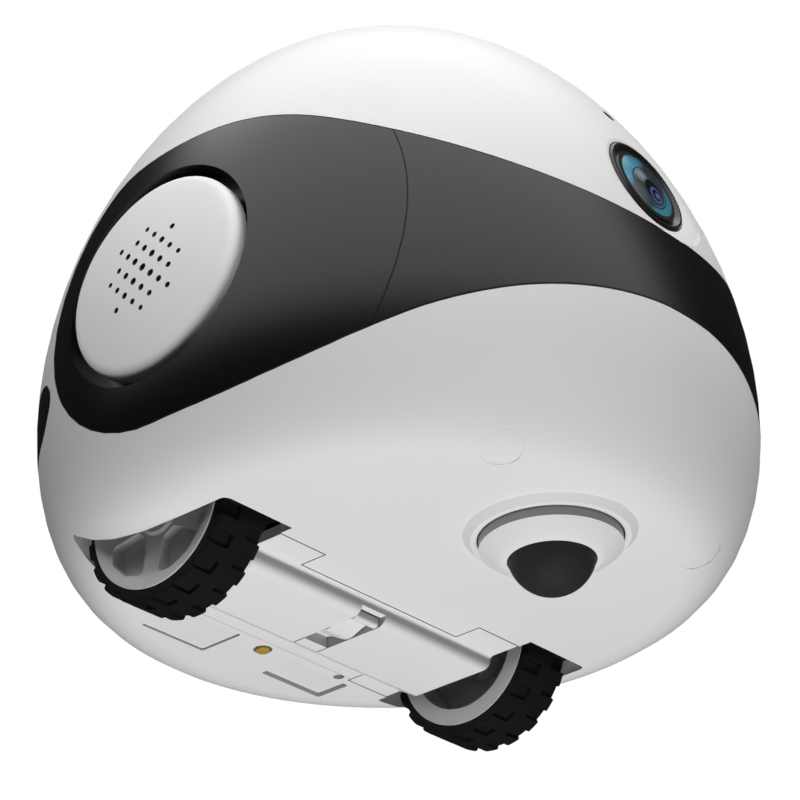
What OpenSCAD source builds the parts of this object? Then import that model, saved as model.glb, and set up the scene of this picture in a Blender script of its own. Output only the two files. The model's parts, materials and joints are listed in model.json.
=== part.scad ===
// Ball-shaped pet companion robot. A two-part white shell with a black band stands on two
// geared drive wheels and a ball caster. It faces -Y, and the floor is at z = 0.

/* [Body] */
// Widest radius of the body
body_r = 48; // [46:0.5:52]
// Height of the widest ring above the floor
widest_z = 31; // [30:0.5:33]
// Height of the dome above the widest ring
dome_h = 60; // [57:0.5:66]
// Roundness of the dome, 2 is an ellipse
dome_power = 1.87; // [1.8:0.01:2]
// Height of the flat underside above the floor
base_z = 8.4; // [8:0.1:9]
// Radius of the flat underside
base_r = 35.2; // [34.6:0.2:37]
// Roundness of the lower edge, 2 is an ellipse
base_power = 2.2; // [2:0.1:2.5]
// Wall thickness of the two shells
wall = 2.2; // [2:0.1:2.6]
// Hairline gap round each panel
seam = 0.15; // [0.1:0.05:0.3]

/* [Black band] */
// Thickness of the black panels let into the shells
panel_t = 1.2; // [1:0.1:1.4]
// Height of the top edge over the ears
band_top_z = 57.6; // [56:0.2:60]
// Height of the bottom edge under the ears
band_bottom_z = 16.1; // [15:0.1:17]
// Rear edge of the band behind the ears
band_rear_y = 21.8; // [21:0.1:24]
// Slope of the band's edges towards the nose, degrees
band_slope = 24.5; // [22:0.5:26]
// Radius of the seam between front band and ear panels
ear_seam_r = 32.7; // [30:0.1:34]

/* [Ears] */
// Ear axis, distance behind the body's centre
ear_y = 0.6; // [-1:0.1:2]
// Ear axis, height above the floor
ear_z = 37; // [36:0.2:38]
// Upward tilt of the speaker covers, degrees
ear_tilt = 5; // [3:0.5:7]
// Radius of the round speaker cover
speaker_r = 14.1; // [13:0.1:14.6]
// Radius of the round recess in the ear panel
recess_r = 15.6; // [15.2:0.1:16]
// Depth of the recess
recess_d = 6; // [5:0.1:6.6]
// Spacing of the sound holes
grille_pitch = 2.1; // [1.9:0.05:2.4]

/* [Camera] */
// Height of the camera axis above the floor
lens_z = 51.8; // [50.5:0.1:54]
// Upward tilt of the camera, degrees
lens_tilt = 15; // [12:0.5:18]
// Radius of the camera bezel
bezel_r = 7; // [6.6:0.1:7.4]
// Radius of the front glass
glass_r = 4.85; // [4.4:0.05:5]
// Height of the microphone hole above the floor
mic_z = 65.2; // [62:0.2:68]

/* [Wheels] */
// Radius of the tyre, which sets the axle's height
tyre_r = 12.3; // [12:0.1:12.8]
// Radius of the rim under the tyre
rim_r = 10.7; // [10.2:0.1:11]
// How far the wheel's outer face lies inside the widest radius
wheel_inset = 14; // [13.6:0.1:14.4]
// Width of the wheel
wheel_w = 8.1; // [7.4:0.1:8.6]
// Axle position behind the body's centre
axle_y = 11.6; // [11:0.2:12.4]
// Radius of the axle
axle_r = 1.5; // [1.2:0.1:1.8]
// Clearance between wheel and well, all round
well_gap = 1.4; // [1.2:0.1:1.6]
// Number of tread lugs
lugs = 20; // [16:1:24]
// Depth of the tread
tread_d = 0.9; // [0.6:0.1:1.1]

/* [Drive] */
// Tooth module of the drive gears
tooth_m = 0.3; // [0.28:0.01:0.32]
// Teeth of the drive gear
gear_teeth = 28; // [28:12:28]
// Teeth of the motor pinion
pinion_teeth = 12; // [12:12:12]
// Radius of the motor can
motor_r = 5; // [4.4:0.1:5.2]

/* [Belly cover] */
// Length of the cover from the axle to its front and rear edges
cover_half_l = 11.55; // [11.2:0.05:12]
// Depth of the step in the cover's front edge
cover_step = 4.1; // [3:0.1:4.2]
// Half width of the step
cover_step_x = 15.4; // [14.6:0.2:17]
// Thickness of the cover
cover_t = 1.4; // [1.2:0.1:1.6]
// How far the cover bulges below the underside
bulge_d = 2.3; // [1.8:0.1:2.6]
// Width of the latch window
latch_w = 4.7; // [4.4:0.1:5.4]
// Length of the latch window
latch_l = 11.25; // [10.8:0.05:11.6]

/* [Caster] */
// Radius of the caster ball
ball_r = 5.7; // [5.5:0.05:5.9]
// Caster position in front of the body's centre
caster_y = 24.3; // [23.6:0.1:25]
// Radius of the ball's retaining cap
cap_r = 9.15; // [8.8:0.05:9.6]
// Width of the raised ring round the caster
caster_ring_w = 1.75; // [1.4:0.05:2.2]
// How far the raised ring stands below the underside
caster_ring_d = 0.85; // [0.6:0.05:1.1]

/* [Rear strip] */
// Gap between the band's rear edge and the ends of the black rear strip
strip_gap = 0.1; // [0.1:0.1:2]
// Lower edge of the rear strip
strip_low_z = 25.5; // [24.6:0.1:26]
// Height of the rear strip
strip_h = 7.7; // [7:0.1:8.4]
// Radius of the power button
button_r = 2.6; // [2.2:0.1:2.8]
// Travel of the power button
button_travel = 0.8; // [0.5:0.1:0.9]

/* [Hidden] */
$fn = 96;
fit = 0.05;
run = 0.04;
dome_steps = 20;
base_steps = 10;
big = 3 * body_r;

// Shells and band
split_z = widest_z - 1;
lap_h = 2.2;
lap_t = 1.1;
lap_root = 4;
lap_gap = 0.15;
lap_r = body_r - wall - lap_gap;
band_mid_z = ear_z + 1;
band_front_y = -body_r - 8;
band_top_r = 41;
band_top_y = -4.5;
band_bottom_r = 65;
band_bottom_y = -3;
band_corner_y = 8;
band_tail_y = 1;

// Ears
ear_face_r = dome_radius(ear_z);
collar_r = recess_r + 1.2;
collar_floor = 1.2;
cover_dome_r = 58;
cover_fillet = 1.4;
cover_edge_t = 1.2;
skirt_r = speaker_r - 1.2;
skirt_t = 1;
grille_hole_r = 0.54;
grille_hole_step = 0.045;
driver_r = skirt_r - 0.4;
driver_hole_r = driver_r - 1.4;
driver_h = 6.4;
driver_flange_t = 1;
magnet_r = 6;
magnet_h = 3;
cone_d = 1.8;
cone_r = 3;
dust_cap_rise = 0.9;

// Camera
lens_sink = 1.2;
lens_face_y = -(dome_radius(lens_z) - lens_sink);
barrel_r = glass_r + 0.3;
barrel_l = 9;
glass_t = 0.7;
glass_rise = 0.1;
inner_lens_r = barrel_r - 1;
inner_lens_seat = 4;
inner_lens_t = 1.6;
camera_board_w = 15;
camera_board_t = 1.2;
bezel_flange_w = 1.2;
bezel_flange_t = 0.8;
bezel_flange_z = -2.25;
bezel_proud = 0.25;
bezel_rim_w = 0.55;
bezel_edge = 0.25;
bezel_groove_d = 0.35;
bezel_groove_w = 0.3;
collar_w = 0.3;
dish_low = 0.1;
dish_step = 0.6;
dish_h = 6;
mic_hole_r = 0.95;
mic_r = 2.2;
mic_h = 1.6;
mic_tilt = atan(dome_slope(mic_z));

// Wheels
axle_z = tyre_r;
wheel_out = body_r - wheel_inset;
wheel_in = wheel_out - wheel_w;
well_in_gap = 2.2;
well_out_gap = 1.65;
well_in = wheel_in - well_in_gap;
well_out = wheel_out + well_out_gap;
well_r = tyre_r + well_gap;
well_t = 1.3;
rim_t = 2.25;
hub_dish = 0.6;
web_t = 1;
spoke_t = 1.5;
hub_boss_r = axle_r + 1.5;
hub_windows = 5;
window_turn = -10;
shoulder = 0.5;
axle_end = wheel_out - hub_dish - 0.6;

// Drive
gear_c = tooth_m * (gear_teeth + pinion_teeth) / 2;
gear_w = 3;
backlash = 0.08;
motor_z = axle_z + gear_c;
side_t = 1.7;
side_x = well_in - side_t - 0.1;
gear_boss_l = 1;
gear_gap = 0.8;
gear_side_gap = 1.3;
gear_x = side_x - gear_w - gear_boss_l - gear_side_gap;
rib_t = 1.4;
rib_x = gear_x - gear_gap - rib_t;
pinion_shaft_r = 0.75;
pinion_grip = 2.5;
motor_gap = 0.8;
axle_boss_r = axle_z - base_z + bulge_d - 0.35;
axle_boss_x = wheel_in - 0.6;
bush_r = axle_r + 0.9;
roof_z = motor_z + motor_r + 0.1;
roof_t = 1.4;
housing_t = 1.4;
housing_front = axle_y - cover_half_l + 0.6;
housing_rear = axle_y + cover_half_l - 0.6;
housing_flange_t = 1.6;
housing_foot = 5.5;
base_in = base_z + wall;
housing_screw_in = 4.7;
housing_screw_x = well_in - housing_screw_in;
screw_r = 1;
screw_head_r = 1.9;
screw_head_t = 1.2;
screw_slack = 0.03;
hex_r = 0.9;
hex_d = 0.6;
case_screw_l = 9;
housing_screw_l = 3;
board_screw_l = 6.6;

// Belly cover
cover_front = axle_y - cover_half_l;
cover_rear = axle_y + cover_half_l;
cover_mid_front = cover_front + cover_step;
cover_half_w = well_in - 0.2;
cover_gap = 0.2;
cover_rear_gap = 0.06;
tab_x = cover_step_x + 0.15;
tab_slit = 0.2;
tab_rear = cover_rear + 0.45;
pry_r = 0.75;
pry_x = cover_step_x - 1.5;
pry_y = cover_rear + 0.75;
pry_d = 0.8;
bulge_front = axle_y - 7.3;
bulge_fillet = 0.6;
bulge_round = bulge_d - bulge_fillet;
bulge_flat_rear = axle_y + 5.6;
bulge_rear = axle_y + 9.4;
bulge_end_r = 1.5;
low_z = base_z - bulge_d;
latch_x = -0.25;
latch_rear = bulge_flat_rear;
latch_front = latch_rear - latch_l;
latch_gap = 0.2;
latch_t = 0.9;
latch_nose_r = 0.6;
latch_nose_t = 1.25;
latch_flat = 0.8;
latch_notch_z = low_z + 1.3;
latch_dip_front = 0.9;
latch_dip_front_y = latch_front + 2.25;
latch_crest_y = latch_rear - 5.8;
latch_dip_rear = 1.55;
latch_bar = 1.85;
latch_bar_t = 1.4;
latch_rib_t = 0.8;
latch_rib_h = 3.4;

// Underside
plug_angle = 31.5;
plug_in = 9.3;
plug_out = body_r - plug_in;
plug_x = plug_out * sin(plug_angle);
plug_y = -plug_out * cos(plug_angle);
plug_z = base_height(plug_out);
plug_r = 2.5;
boss_r = 4;
boss_floor = 2;
boss_h = 5.4;
boss_top = plug_z + boss_h;
boss_seat_z = boss_top - boss_floor;
post_r = 3;
pad_in = 5.4;
pad_screw_gap = 2;
pad_out = housing_screw_x - pad_screw_gap;
pad_x = (pad_in + pad_out) / 2;
pad_w = pad_out - pad_in;
pad_t = 0.5;
left_pad_l = 5.6;
left_pad_y = cover_rear + 4.55;
left_pad_d = 0.6;
right_pad_l = 7.2;
right_pad_y = cover_rear + 4.45;
right_pad_d = 0.3;
contact_y = cover_rear + 2;
contact_r = 0.95;
contact_proud = 0.4;
contact_recess_r = 1.3;
contact_recess_d = 0.7;

// Caster
caster_gap = 0.1;
cap_seat_z = base_z - 0.9;
cap_edge_z = base_z - 2.1;
cap_lip_z = ball_r - 1.2;
cap_lip_w = 0.5;
cup_flange_t = 1.2;
cup_top_t = 1.8;
cup_top_z = 2 * ball_r + cup_top_t;
cup_wall = 1.6;
cup_flange_w = 1.4;
ring_lip = 0.8;

// Rear strip
strip_mid_z = strip_low_z + strip_h / 2;
strip_half_w = sqrt(pow(body_r - panel_t, 2) - pow(band_rear_at(strip_mid_z) + strip_gap, 2));
button_proud = 0.35;
button_l = 7;
button_flange_t = 0.8;
button_board_y = body_r - button_l - button_travel - 0.4;
button_board_w = 14;
button_board_h = 8;
button_board_t = 1.2;
switch_w = 4.4;
switch_t = 0.25;
peg_x = 5;
peg_r = 1.4;
socket_turn = 18;
socket_w = 8.9;
socket_h = 3.2;
socket_l = 7;
socket_shell = 0.4;

// Inner frame
frame_z = axle_z + well_r + well_t + 0.3;
frame_t = 1.6;
frame_side_gap = 22;
frame_front_gap = 30;
frame_rear_gap = 20;
frame_w = 2 * (body_r - frame_side_gap);
frame_front = frame_front_gap - body_r;
frame_rear = body_r - frame_rear_gap;
frame_mid_y = (frame_front + frame_rear) / 2;
frame_foot_r = 3;
frame_foot_x = 12;
frame_foot_y = 7;
battery_gap = 6;
battery_w = frame_w - 2 * battery_gap;
battery_l = frame_rear - frame_front - 2 * battery_gap;
battery_h = 15;
board_gap = 3;
board_z = frame_z + frame_t + battery_h + board_gap;
board_t = 1.6;
board_post_r = 2.4;
board_post_in = 3.5;
chip_t = 1.4;
chip_w = 14;

// Radius of the dome at a height above the widest ring
function dome_radius(z) = body_r * pow(1 - pow((z - widest_z) / dome_h, dome_power), 1 / dome_power);

// Inward slope of the dome at a height, radius lost per unit of height
function dome_slope(z) =
    body_r / dome_h * pow(((z - widest_z) / dome_h) / (dome_radius(z) / body_r), dome_power - 1);

// Points of the dome and of the lower edge, t degrees from the widest ring
function dome_point(t, inset) = [(body_r - inset) * pow(cos(t), 2 / dome_power),
    widest_z + (dome_h - inset) * pow(sin(t), 2 / dome_power)];
function base_point(t, inset) = [base_r + (body_r - inset - base_r) * pow(cos(t), 2 / base_power),
    widest_z - (widest_z - base_z - inset) * pow(sin(t), 2 / base_power)];

// Height of the lower edge's surface at a radius outside the flat underside
function base_height(r) = let (u = max(r - base_r, 0) / (body_r - base_r))
    widest_z - (widest_z - base_z) * pow(1 - pow(u, base_power), 1 / base_power);

// Half outline of the body, inset from its outer surface
function body_profile(inset) = concat([[0, base_z + inset]],
    [for (i = [0:base_steps]) base_point(90 - 90 * i / base_steps, inset)],
    [for (i = [1:dome_steps]) dome_point(90 * i / dome_steps, inset)]);

// Points of an elliptic arc
function arc(c, rx, ry, a0, a1, n) =
    [for (i = [0:n]) let (a = a0 + (a1 - a0) * i / n) [c[0] + rx * cos(a), c[1] + ry * sin(a)]];

// Outline with round corners: each corner becomes an arc of n steps
function unit(v) = v / norm(v);
function corner(a, b, c, r, n) = let (u = unit(a - b), v = unit(c - b), half = acos(u * v) / 2,
    d = r / tan(half), m = b + unit(u + v) * r / sin(half), p = b + u * d - m, q = b + v * d - m,
    turn = atan2(p[0] * q[1] - p[1] * q[0], p * q), start = atan2(p[1], p[0]))
    [for (i = [0:n]) m + r * [cos(start + turn * i / n), sin(start + turn * i / n)]];
function rounded(pts, r, n = 5) = let (k = len(pts))
    [for (i = [0:k - 1]) each corner(pts[(i + k - 1) % k], pts[i], pts[(i + 1) % k], r, n)];
function rectangle(w, l) = [[-w / 2, -l / 2], [w / 2, -l / 2], [w / 2, l / 2], [-w / 2, l / 2]];

// Outline of the black band seen from the side, grown by g
function band_outline(g) = let (
    top_end = [band_top_y - band_top_r * sin(band_slope),
        band_top_z + g - band_top_r * (1 - cos(band_slope))],
    low_end = [band_bottom_y - band_bottom_r * sin(band_slope),
        band_bottom_z - g + band_bottom_r * (1 - cos(band_slope))])
    concat(
    arc([band_corner_y, band_mid_z], band_rear_y + g - band_corner_y, band_top_z + g - band_mid_z,
        0, 90, 10),
    arc([band_top_y, band_top_z + g - band_top_r], band_top_r, band_top_r, 90, 90 + band_slope, 8),
    [[band_front_y, top_end[1] - (top_end[0] - band_front_y) * tan(band_slope)],
     [band_front_y, low_end[1] + (low_end[0] - band_front_y) * tan(band_slope)]],
    arc([band_bottom_y, band_bottom_z - g + band_bottom_r], band_bottom_r, band_bottom_r,
        270 - band_slope, 270, 8),
    arc([band_tail_y, band_mid_z], band_rear_y + g - band_tail_y, band_mid_z - band_bottom_z + g,
        270, 350, 10));

// Rear edge of the band at a height below its middle
function band_rear_at(z) = band_tail_y + (band_rear_y - band_tail_y)
    * sqrt(1 - pow((z - band_mid_z) / (band_mid_z - band_bottom_z), 2));

// Gear outline with involute flanks
function inv(a) = tan(a) - a * PI / 180;
function flank(teeth, rr) = let (rp = tooth_m * teeth / 2, rb = rp * cos(20))
    90 / teeth - 180 * backlash / (4 * PI * rp) + (inv(20) - inv(acos(min(1, rb / rr)))) * 180 / PI;
function gear_outline(teeth, add, ded) = let (rp = tooth_m * teeth / 2, rb = rp * cos(20),
    ra = rp + add * tooth_m, rf = rp - ded * tooth_m, r0 = max(rb, rf),
    radii = [for (i = [0:4]) r0 + (ra - r0) * i / 4])
    [for (k = [0:teeth - 1]) let (mid = 360 * k / teeth)
        each concat([rf * [cos(mid - flank(teeth, r0)), sin(mid - flank(teeth, r0))]],
            [for (rr = radii) rr * [cos(mid - flank(teeth, rr)), sin(mid - flank(teeth, rr))]],
            [for (i = [4:-1:0]) let (rr = radii[i])
                rr * [cos(mid + flank(teeth, rr)), sin(mid + flank(teeth, rr))]],
            [rf * [cos(mid + flank(teeth, r0)), sin(mid + flank(teeth, r0))]])];

// Frames: local +Z points out of the ear, lens or wheel
module ear_frame() {
    translate([-ear_face_r, ear_y, ear_z]) rotate([0, ear_tilt - 90, 0]) children();
}
module lens_frame() {
    translate([0, lens_face_y, lens_z]) rotate([90 - lens_tilt, 0, 0]) children();
}
module mic_frame() {
    translate([0, -dome_radius(mic_z), mic_z]) rotate([90 - mic_tilt, 0, 0]) children();
}
module wheel_frame(side) {
    translate([0, axle_y, axle_z]) rotate([0, side * 90, 0]) children();
}
module motor_frame(side) {
    translate([0, axle_y, motor_z]) rotate([0, side * 90, 0]) children();
}
module both_sides() {
    children();
    mirror([1, 0, 0]) children();
}
module tube(r_out, r_in, z0, z1) {
    difference() {
        translate([0, 0, z0]) cylinder(r = r_out, h = z1 - z0);
        translate([0, 0, z0 - 1]) cylinder(r = r_in, h = z1 - z0 + 2);
    }
}
module rod(r, z0, z1) {
    translate([0, 0, z0]) cylinder(r = r, h = z1 - z0);
}

// Solid of the whole body, inset from its outer surface
module body_solid(inset) {
    rotate_extrude() polygon(body_profile(inset));
}
module side_prism(points) {
    rotate([90, 0, 90]) linear_extrude(height = big, center = true) polygon(points);
}
module cross_prism(points, y0, y1) {
    translate([0, y1, 0]) rotate([90, 0, 0]) linear_extrude(height = y1 - y0) polygon(points);
}
module strip_prism(g) {
    half = strip_half_w - strip_h / 2;
    translate([0, big, 0]) rotate([90, 0, 0]) linear_extrude(height = big) {
        translate([-half, strip_low_z - g]) square([2 * half, strip_h + 2 * g]);
        translate([-half, strip_mid_z]) circle(r = strip_h / 2 + g);
        translate([half, strip_mid_z]) circle(r = strip_h / 2 + g);
    }
}
module panel_recesses() {
    difference() {
        union() {
            side_prism(band_outline(seam));
            strip_prism(seam);
        }
        body_solid(panel_t);
    }
}
module ear_holes() {
    both_sides() ear_frame() rod(collar_r + seam, -recess_d - 3, 4);
}
module button_hole(r) {
    translate([0, body_r - 8, strip_mid_z]) rotate([-90, 0, 0]) cylinder(r = r, h = 12);
}
module socket_frame() {
    rotate([0, 0, -socket_turn]) translate([0, body_r - socket_l - 0.4, strip_mid_z])
        rotate([-90, 0, 0]) children();
}
module socket_outline(w, h) {
    square([w - h, h], center = true);
    translate([-(w - h) / 2, 0]) circle(r = h / 2);
    translate([(w - h) / 2, 0]) circle(r = h / 2);
}
module socket_hole() {
    socket_frame() linear_extrude(height = socket_l + 4)
        socket_outline(socket_w + 0.2, socket_h + 0.2);
}

// Soft dish round the camera, which flattens from slope to slope until it leaves the dome
function dish_points(r, z, slope) = slope < -4 ? [[r, z]]
    : concat([[r, z]], dish_points(r + dish_step, z + dish_step * tan(slope), slope - 5));
module camera_dish() {
    points = dish_points(bezel_r, -dish_low, 18);
    lens_frame() rotate_extrude()
        polygon(concat([[0, dish_h], [0, -dish_low]], points, [[points[len(points) - 1][0], dish_h]]));
}

// White dome with the camera opening, the microphone hole and two screw posts
module upper_shell() {
    color("white") difference() {
        union() {
            difference() {
                body_solid(0);
                body_solid(wall);
                translate([-big, -big, -1]) cube([2 * big, 2 * big, split_z + seam / 2 + 1]);
            }
            both_sides() intersection() {
                translate([plug_x, plug_y, boss_top + fit]) cylinder(r = post_r, h = big);
                union() {
                    body_solid(wall + seam);
                    intersection() {
                        body_solid(wall / 2);
                        translate([-big, -big, split_z + lap_h]) cube(2 * big);
                    }
                }
            }
        }
        panel_recesses();
        ear_holes();
        button_hole(button_r + 0.15);
        socket_hole();
        lens_frame() rod(bezel_r + seam, -8, 8);
        camera_dish();
        lens_frame() rod(bezel_r + bezel_flange_w + seam, -8, bezel_flange_z + fit);
        mic_frame() rod(mic_hole_r, -wall - 2, 4);
        both_sides() translate([plug_x, plug_y, boss_seat_z]) cylinder(r = screw_r, h = case_screw_l + 1);
    }
}

// Arch of a wheel well: a half round over a straight-sided opening
module well_arch(r, x0, x1) {
    translate([x0, axle_y, axle_z]) rotate([0, 90, 0]) cylinder(r = r, h = x1 - x0);
    translate([x0, axle_y - r, -1]) cube([x1 - x0, 2 * r, axle_z + 1]);
}
module well_opening() {
    mouth = rounded([[well_in - 3, axle_y - well_r], [well_out, axle_y - well_r],
        [well_out, axle_y + well_r], [well_in - 3, axle_y + well_r]], 1);
    intersection() {
        well_arch(well_r, well_in, well_out);
        translate([0, 0, -1]) linear_extrude(height = big) polygon(mouth);
    }
}
// Mouth of the drive bay, stepped like the cover's front edge and its rear tabs
module drive_opening() {
    x = well_in + 0.5;
    step = cover_step_x - cover_gap;
    front = cover_front - cover_gap;
    mid = cover_mid_front - cover_gap;
    rear = cover_rear + cover_rear_gap;
    tab = tab_rear + cover_gap;
    translate([0, 0, -1]) linear_extrude(height = base_in + 2) polygon([
        [-x, front], [-step, front], [-step, mid], [step, mid], [step, front], [x, front],
        [x, tab], [tab_x, tab], [tab_x, rear], [-tab_x, rear], [-tab_x, tab], [-x, tab]]);
}
module caster_ring() {
    translate([0, -caster_y, 0]) rotate_extrude() polygon([
        [cap_r + 0.2, base_in], [cap_r + 0.2, base_z - caster_ring_d],
        [cap_r + 0.2 + ring_lip, base_z - caster_ring_d],
        [cap_r + 0.2 + caster_ring_w, base_z], [cap_r + 0.2 + caster_ring_w, base_in]]);
}
module pad_block(w, l, z0, z1) {
    translate([0, 0, z0]) linear_extrude(height = z1 - z0) polygon(rounded(rectangle(w, l), 0.4));
}
// White underside with the wheel wells, drive bay, caster ring, screw bosses and pad pockets
module lower_shell() {
    color("whitesmoke") difference() {
        union() {
            difference() {
                body_solid(0);
                body_solid(wall);
                translate([-big, -big, split_z - seam / 2]) cube([2 * big, 2 * big, big]);
            }
            tube(lap_r, lap_r - lap_t, split_z - lap_root, split_z + lap_h);
            intersection() {
                tube(body_r, lap_r - lap_t, split_z - lap_root, split_z - seam / 2);
                body_solid(wall / 2);
            }
            both_sides() intersection() {
                difference() {
                    well_arch(well_r + well_t, well_in, well_out + well_t);
                    well_arch(well_r, well_in - 1, well_out);
                }
                body_solid(wall / 2);
            }
            both_sides() difference() {
                well_arch(well_r + well_t, well_in - well_t, well_in);
                translate([0, 0, -big / 2]) cube([big, big, big + 2 * base_z + wall], center = true);
                translate([0, housing_front - 0.1, -1])
                    cube([well_in + 1, housing_rear - housing_front + 0.2, roof_z + roof_t + 1.1]);
            }
            caster_ring();
            both_sides() intersection() {
                translate([plug_x, plug_y, 0]) cylinder(r = boss_r, h = boss_top);
                body_solid(wall / 2);
            }
            both_sides() translate([peg_x, 0, strip_low_z]) intersection() {
                translate([0, button_board_y, 0]) rotate([-90, 0, 0]) cylinder(r = peg_r, h = 20);
                translate([-peg_x, 0, -strip_low_z]) body_solid(wall / 2);
            }
        }
        both_sides() well_opening();
        drive_opening();
        panel_recesses();
        ear_holes();
        button_hole(button_r + 0.15);
        socket_hole();
        translate([0, -caster_y, 0]) cylinder(r = cap_r + 0.2, h = big / 2);
        both_sides() translate([plug_x, plug_y, 0]) {
            cylinder(r = plug_r + 0.1, h = boss_seat_z);
            cylinder(r = screw_r + 0.1, h = big);
        }
        translate([pad_x, left_pad_y, 0]) pad_block(pad_w, left_pad_l, 0, base_z + left_pad_d + pad_t);
        translate([-pad_x, right_pad_y, 0]) pad_block(pad_w, right_pad_l, 0, base_z + right_pad_d + pad_t);
        translate([pry_x, pry_y, 0]) cylinder(r = pry_r, h = base_z + pry_d, $fn = 24);
        translate([0, contact_y, 0]) {
            cylinder(r = contact_recess_r, h = base_z + contact_recess_d);
            cylinder(r = contact_r + 0.03, h = big / 2);
        }
        housing_screw_places() translate([0, 0, base_in - 1.5]) cylinder(r = screw_r, h = big / 2);
    }
}

// Black front band between the two ear seams
module front_band() {
    color("#2b2b2b") difference() {
        intersection() {
            body_solid(0);
            side_prism(band_outline(0));
        }
        body_solid(panel_t - fit);
        camera_dish();
        translate([0, ear_y, ear_z]) rotate([0, 90, 0])
            cylinder(r = ear_seam_r + seam / 2, h = big, center = true);
    }
}

// Black ear panel with the round recess and its collar and floor
module ear_panel_right() {
    color("#2b2b2b") difference() {
        union() {
            difference() {
                intersection() {
                    body_solid(0);
                    side_prism(band_outline(0));
                    translate([-big, ear_y, ear_z]) rotate([0, 90, 0])
                        cylinder(r = ear_seam_r - seam / 2, h = big);
                }
                body_solid(panel_t - fit);
            }
            intersection() {
                ear_frame() rod(collar_r, -recess_d - collar_floor, 3);
                body_solid(panel_t / 2);
            }
        }
        ear_frame() {
            rod(recess_r, -recess_d, 6);
            rod(driver_hole_r, -recess_d - collar_floor - 1, 6);
        }
    }
}
module ear_panel_left() {
    mirror([1, 0, 0]) ear_panel_right();
}

// Domed round cover with a rolled edge, a skirt and a diamond of sound holes
module speaker_cover_right() {
    reach = asin((speaker_r - cover_fillet) / (cover_dome_r - cover_fillet));
    edge_z = -cover_dome_r + (cover_dome_r - cover_fillet) * cos(reach);
    inner_z = edge_z - cover_edge_t;
    color("white") ear_frame() difference() {
        rotate_extrude() polygon(concat(
            [[0, inner_z]],
            [[skirt_r - skirt_t, inner_z], [skirt_r - skirt_t, -recess_d + fit], [skirt_r, -recess_d + fit],
             [skirt_r, inner_z], [speaker_r, inner_z]],
            arc([speaker_r - cover_fillet, edge_z], cover_fillet, cover_fillet, 0, 90 - reach, 6),
            [for (i = [7:-1:0]) let (a = reach * i / 8)
                [cover_dome_r * sin(a), cover_dome_r * cos(a) - cover_dome_r]]));
        rotate([0, 0, 45]) for (i = [-3:3], j = [-3:3]) {
            inside = max(abs(i), abs(j)) <= 2 || abs(i) + abs(j) == 3 && i * j == 0;
            if (inside) translate([i * grille_pitch, j * grille_pitch, -recess_d])
                cylinder(r = grille_hole_r - grille_hole_step * (abs(i) + abs(j)), h = recess_d + 2,
                    $fn = 24);
        }
    }
}
module speaker_cover_left() {
    mirror([1, 0, 0]) speaker_cover_right();
}

// Loudspeaker behind the right cover: flange, basket and magnet
module speaker_driver() {
    top = -recess_d - collar_floor - fit;
    color("dimgray") ear_frame() {
        rotate_extrude() polygon([[0, top - driver_h], [magnet_r, top - driver_h],
            [magnet_r, top - driver_h + magnet_h], [driver_hole_r, top - driver_flange_t],
            [driver_r, top - driver_flange_t], [driver_r, top], [driver_hole_r, top],
            [cone_r, top - cone_d], [0, top - cone_d + dust_cap_rise]]);
    }
}

// Black strip across the rear with the button hole and the charging opening
module rear_strip() {
    color("#262626") difference() {
        intersection() {
            body_solid(0);
            strip_prism(0);
        }
        body_solid(panel_t - fit);
        button_hole(button_r + 0.15);
        socket_hole();
    }
}
module power_button() {
    inner_r = body_r - wall - lap_t - 0.5;
    color("gray") translate([0, 0, strip_mid_z]) rotate([-90, 0, 0]) {
        rod(button_r, body_r - button_l, body_r + button_proud - 0.3);
        rod(button_r - 0.3, body_r + button_proud - 0.4, body_r + button_proud);
        rod(button_r + 0.7, inner_r - button_flange_t, inner_r);
    }
}
// Small board with the button's switch, held on two pegs of the lower shell
module button_board() {
    color("seagreen") translate([0, button_board_y - fit, strip_mid_z]) {
        translate([-button_board_w / 2, -button_board_t, -button_board_h / 2])
            cube([button_board_w, button_board_t, button_board_h]);
        translate([-switch_w / 2, -fit, -switch_w / 2]) cube([switch_w, switch_t, switch_w]);
    }
}
// Charging inlet: a thin metal shell round a contact tongue
module charge_socket() {
    color("silver") socket_frame() {
        difference() {
            linear_extrude(height = socket_l) socket_outline(socket_w, socket_h);
            translate([0, 0, 1]) linear_extrude(height = socket_l)
                socket_outline(socket_w - 2 * socket_shell, socket_h - 2 * socket_shell);
        }
        translate([-3.2, -0.35, 0.5]) cube([6.4, 0.7, socket_l - 1.5]);
    }
}

// Front wall of the bulge: a hollow fillet, then a round edge, at a depth t inside the cover
function bulge_wall(t) = let (r = max(bulge_round - t, 0.1)) concat(
    arc([bulge_front, base_z - bulge_fillet], bulge_fillet + t, bulge_fillet + t, 90, 0, 6),
    arc([bulge_front + bulge_fillet + bulge_round, base_z - bulge_fillet], r, r, 195, 270, 5));

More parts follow.
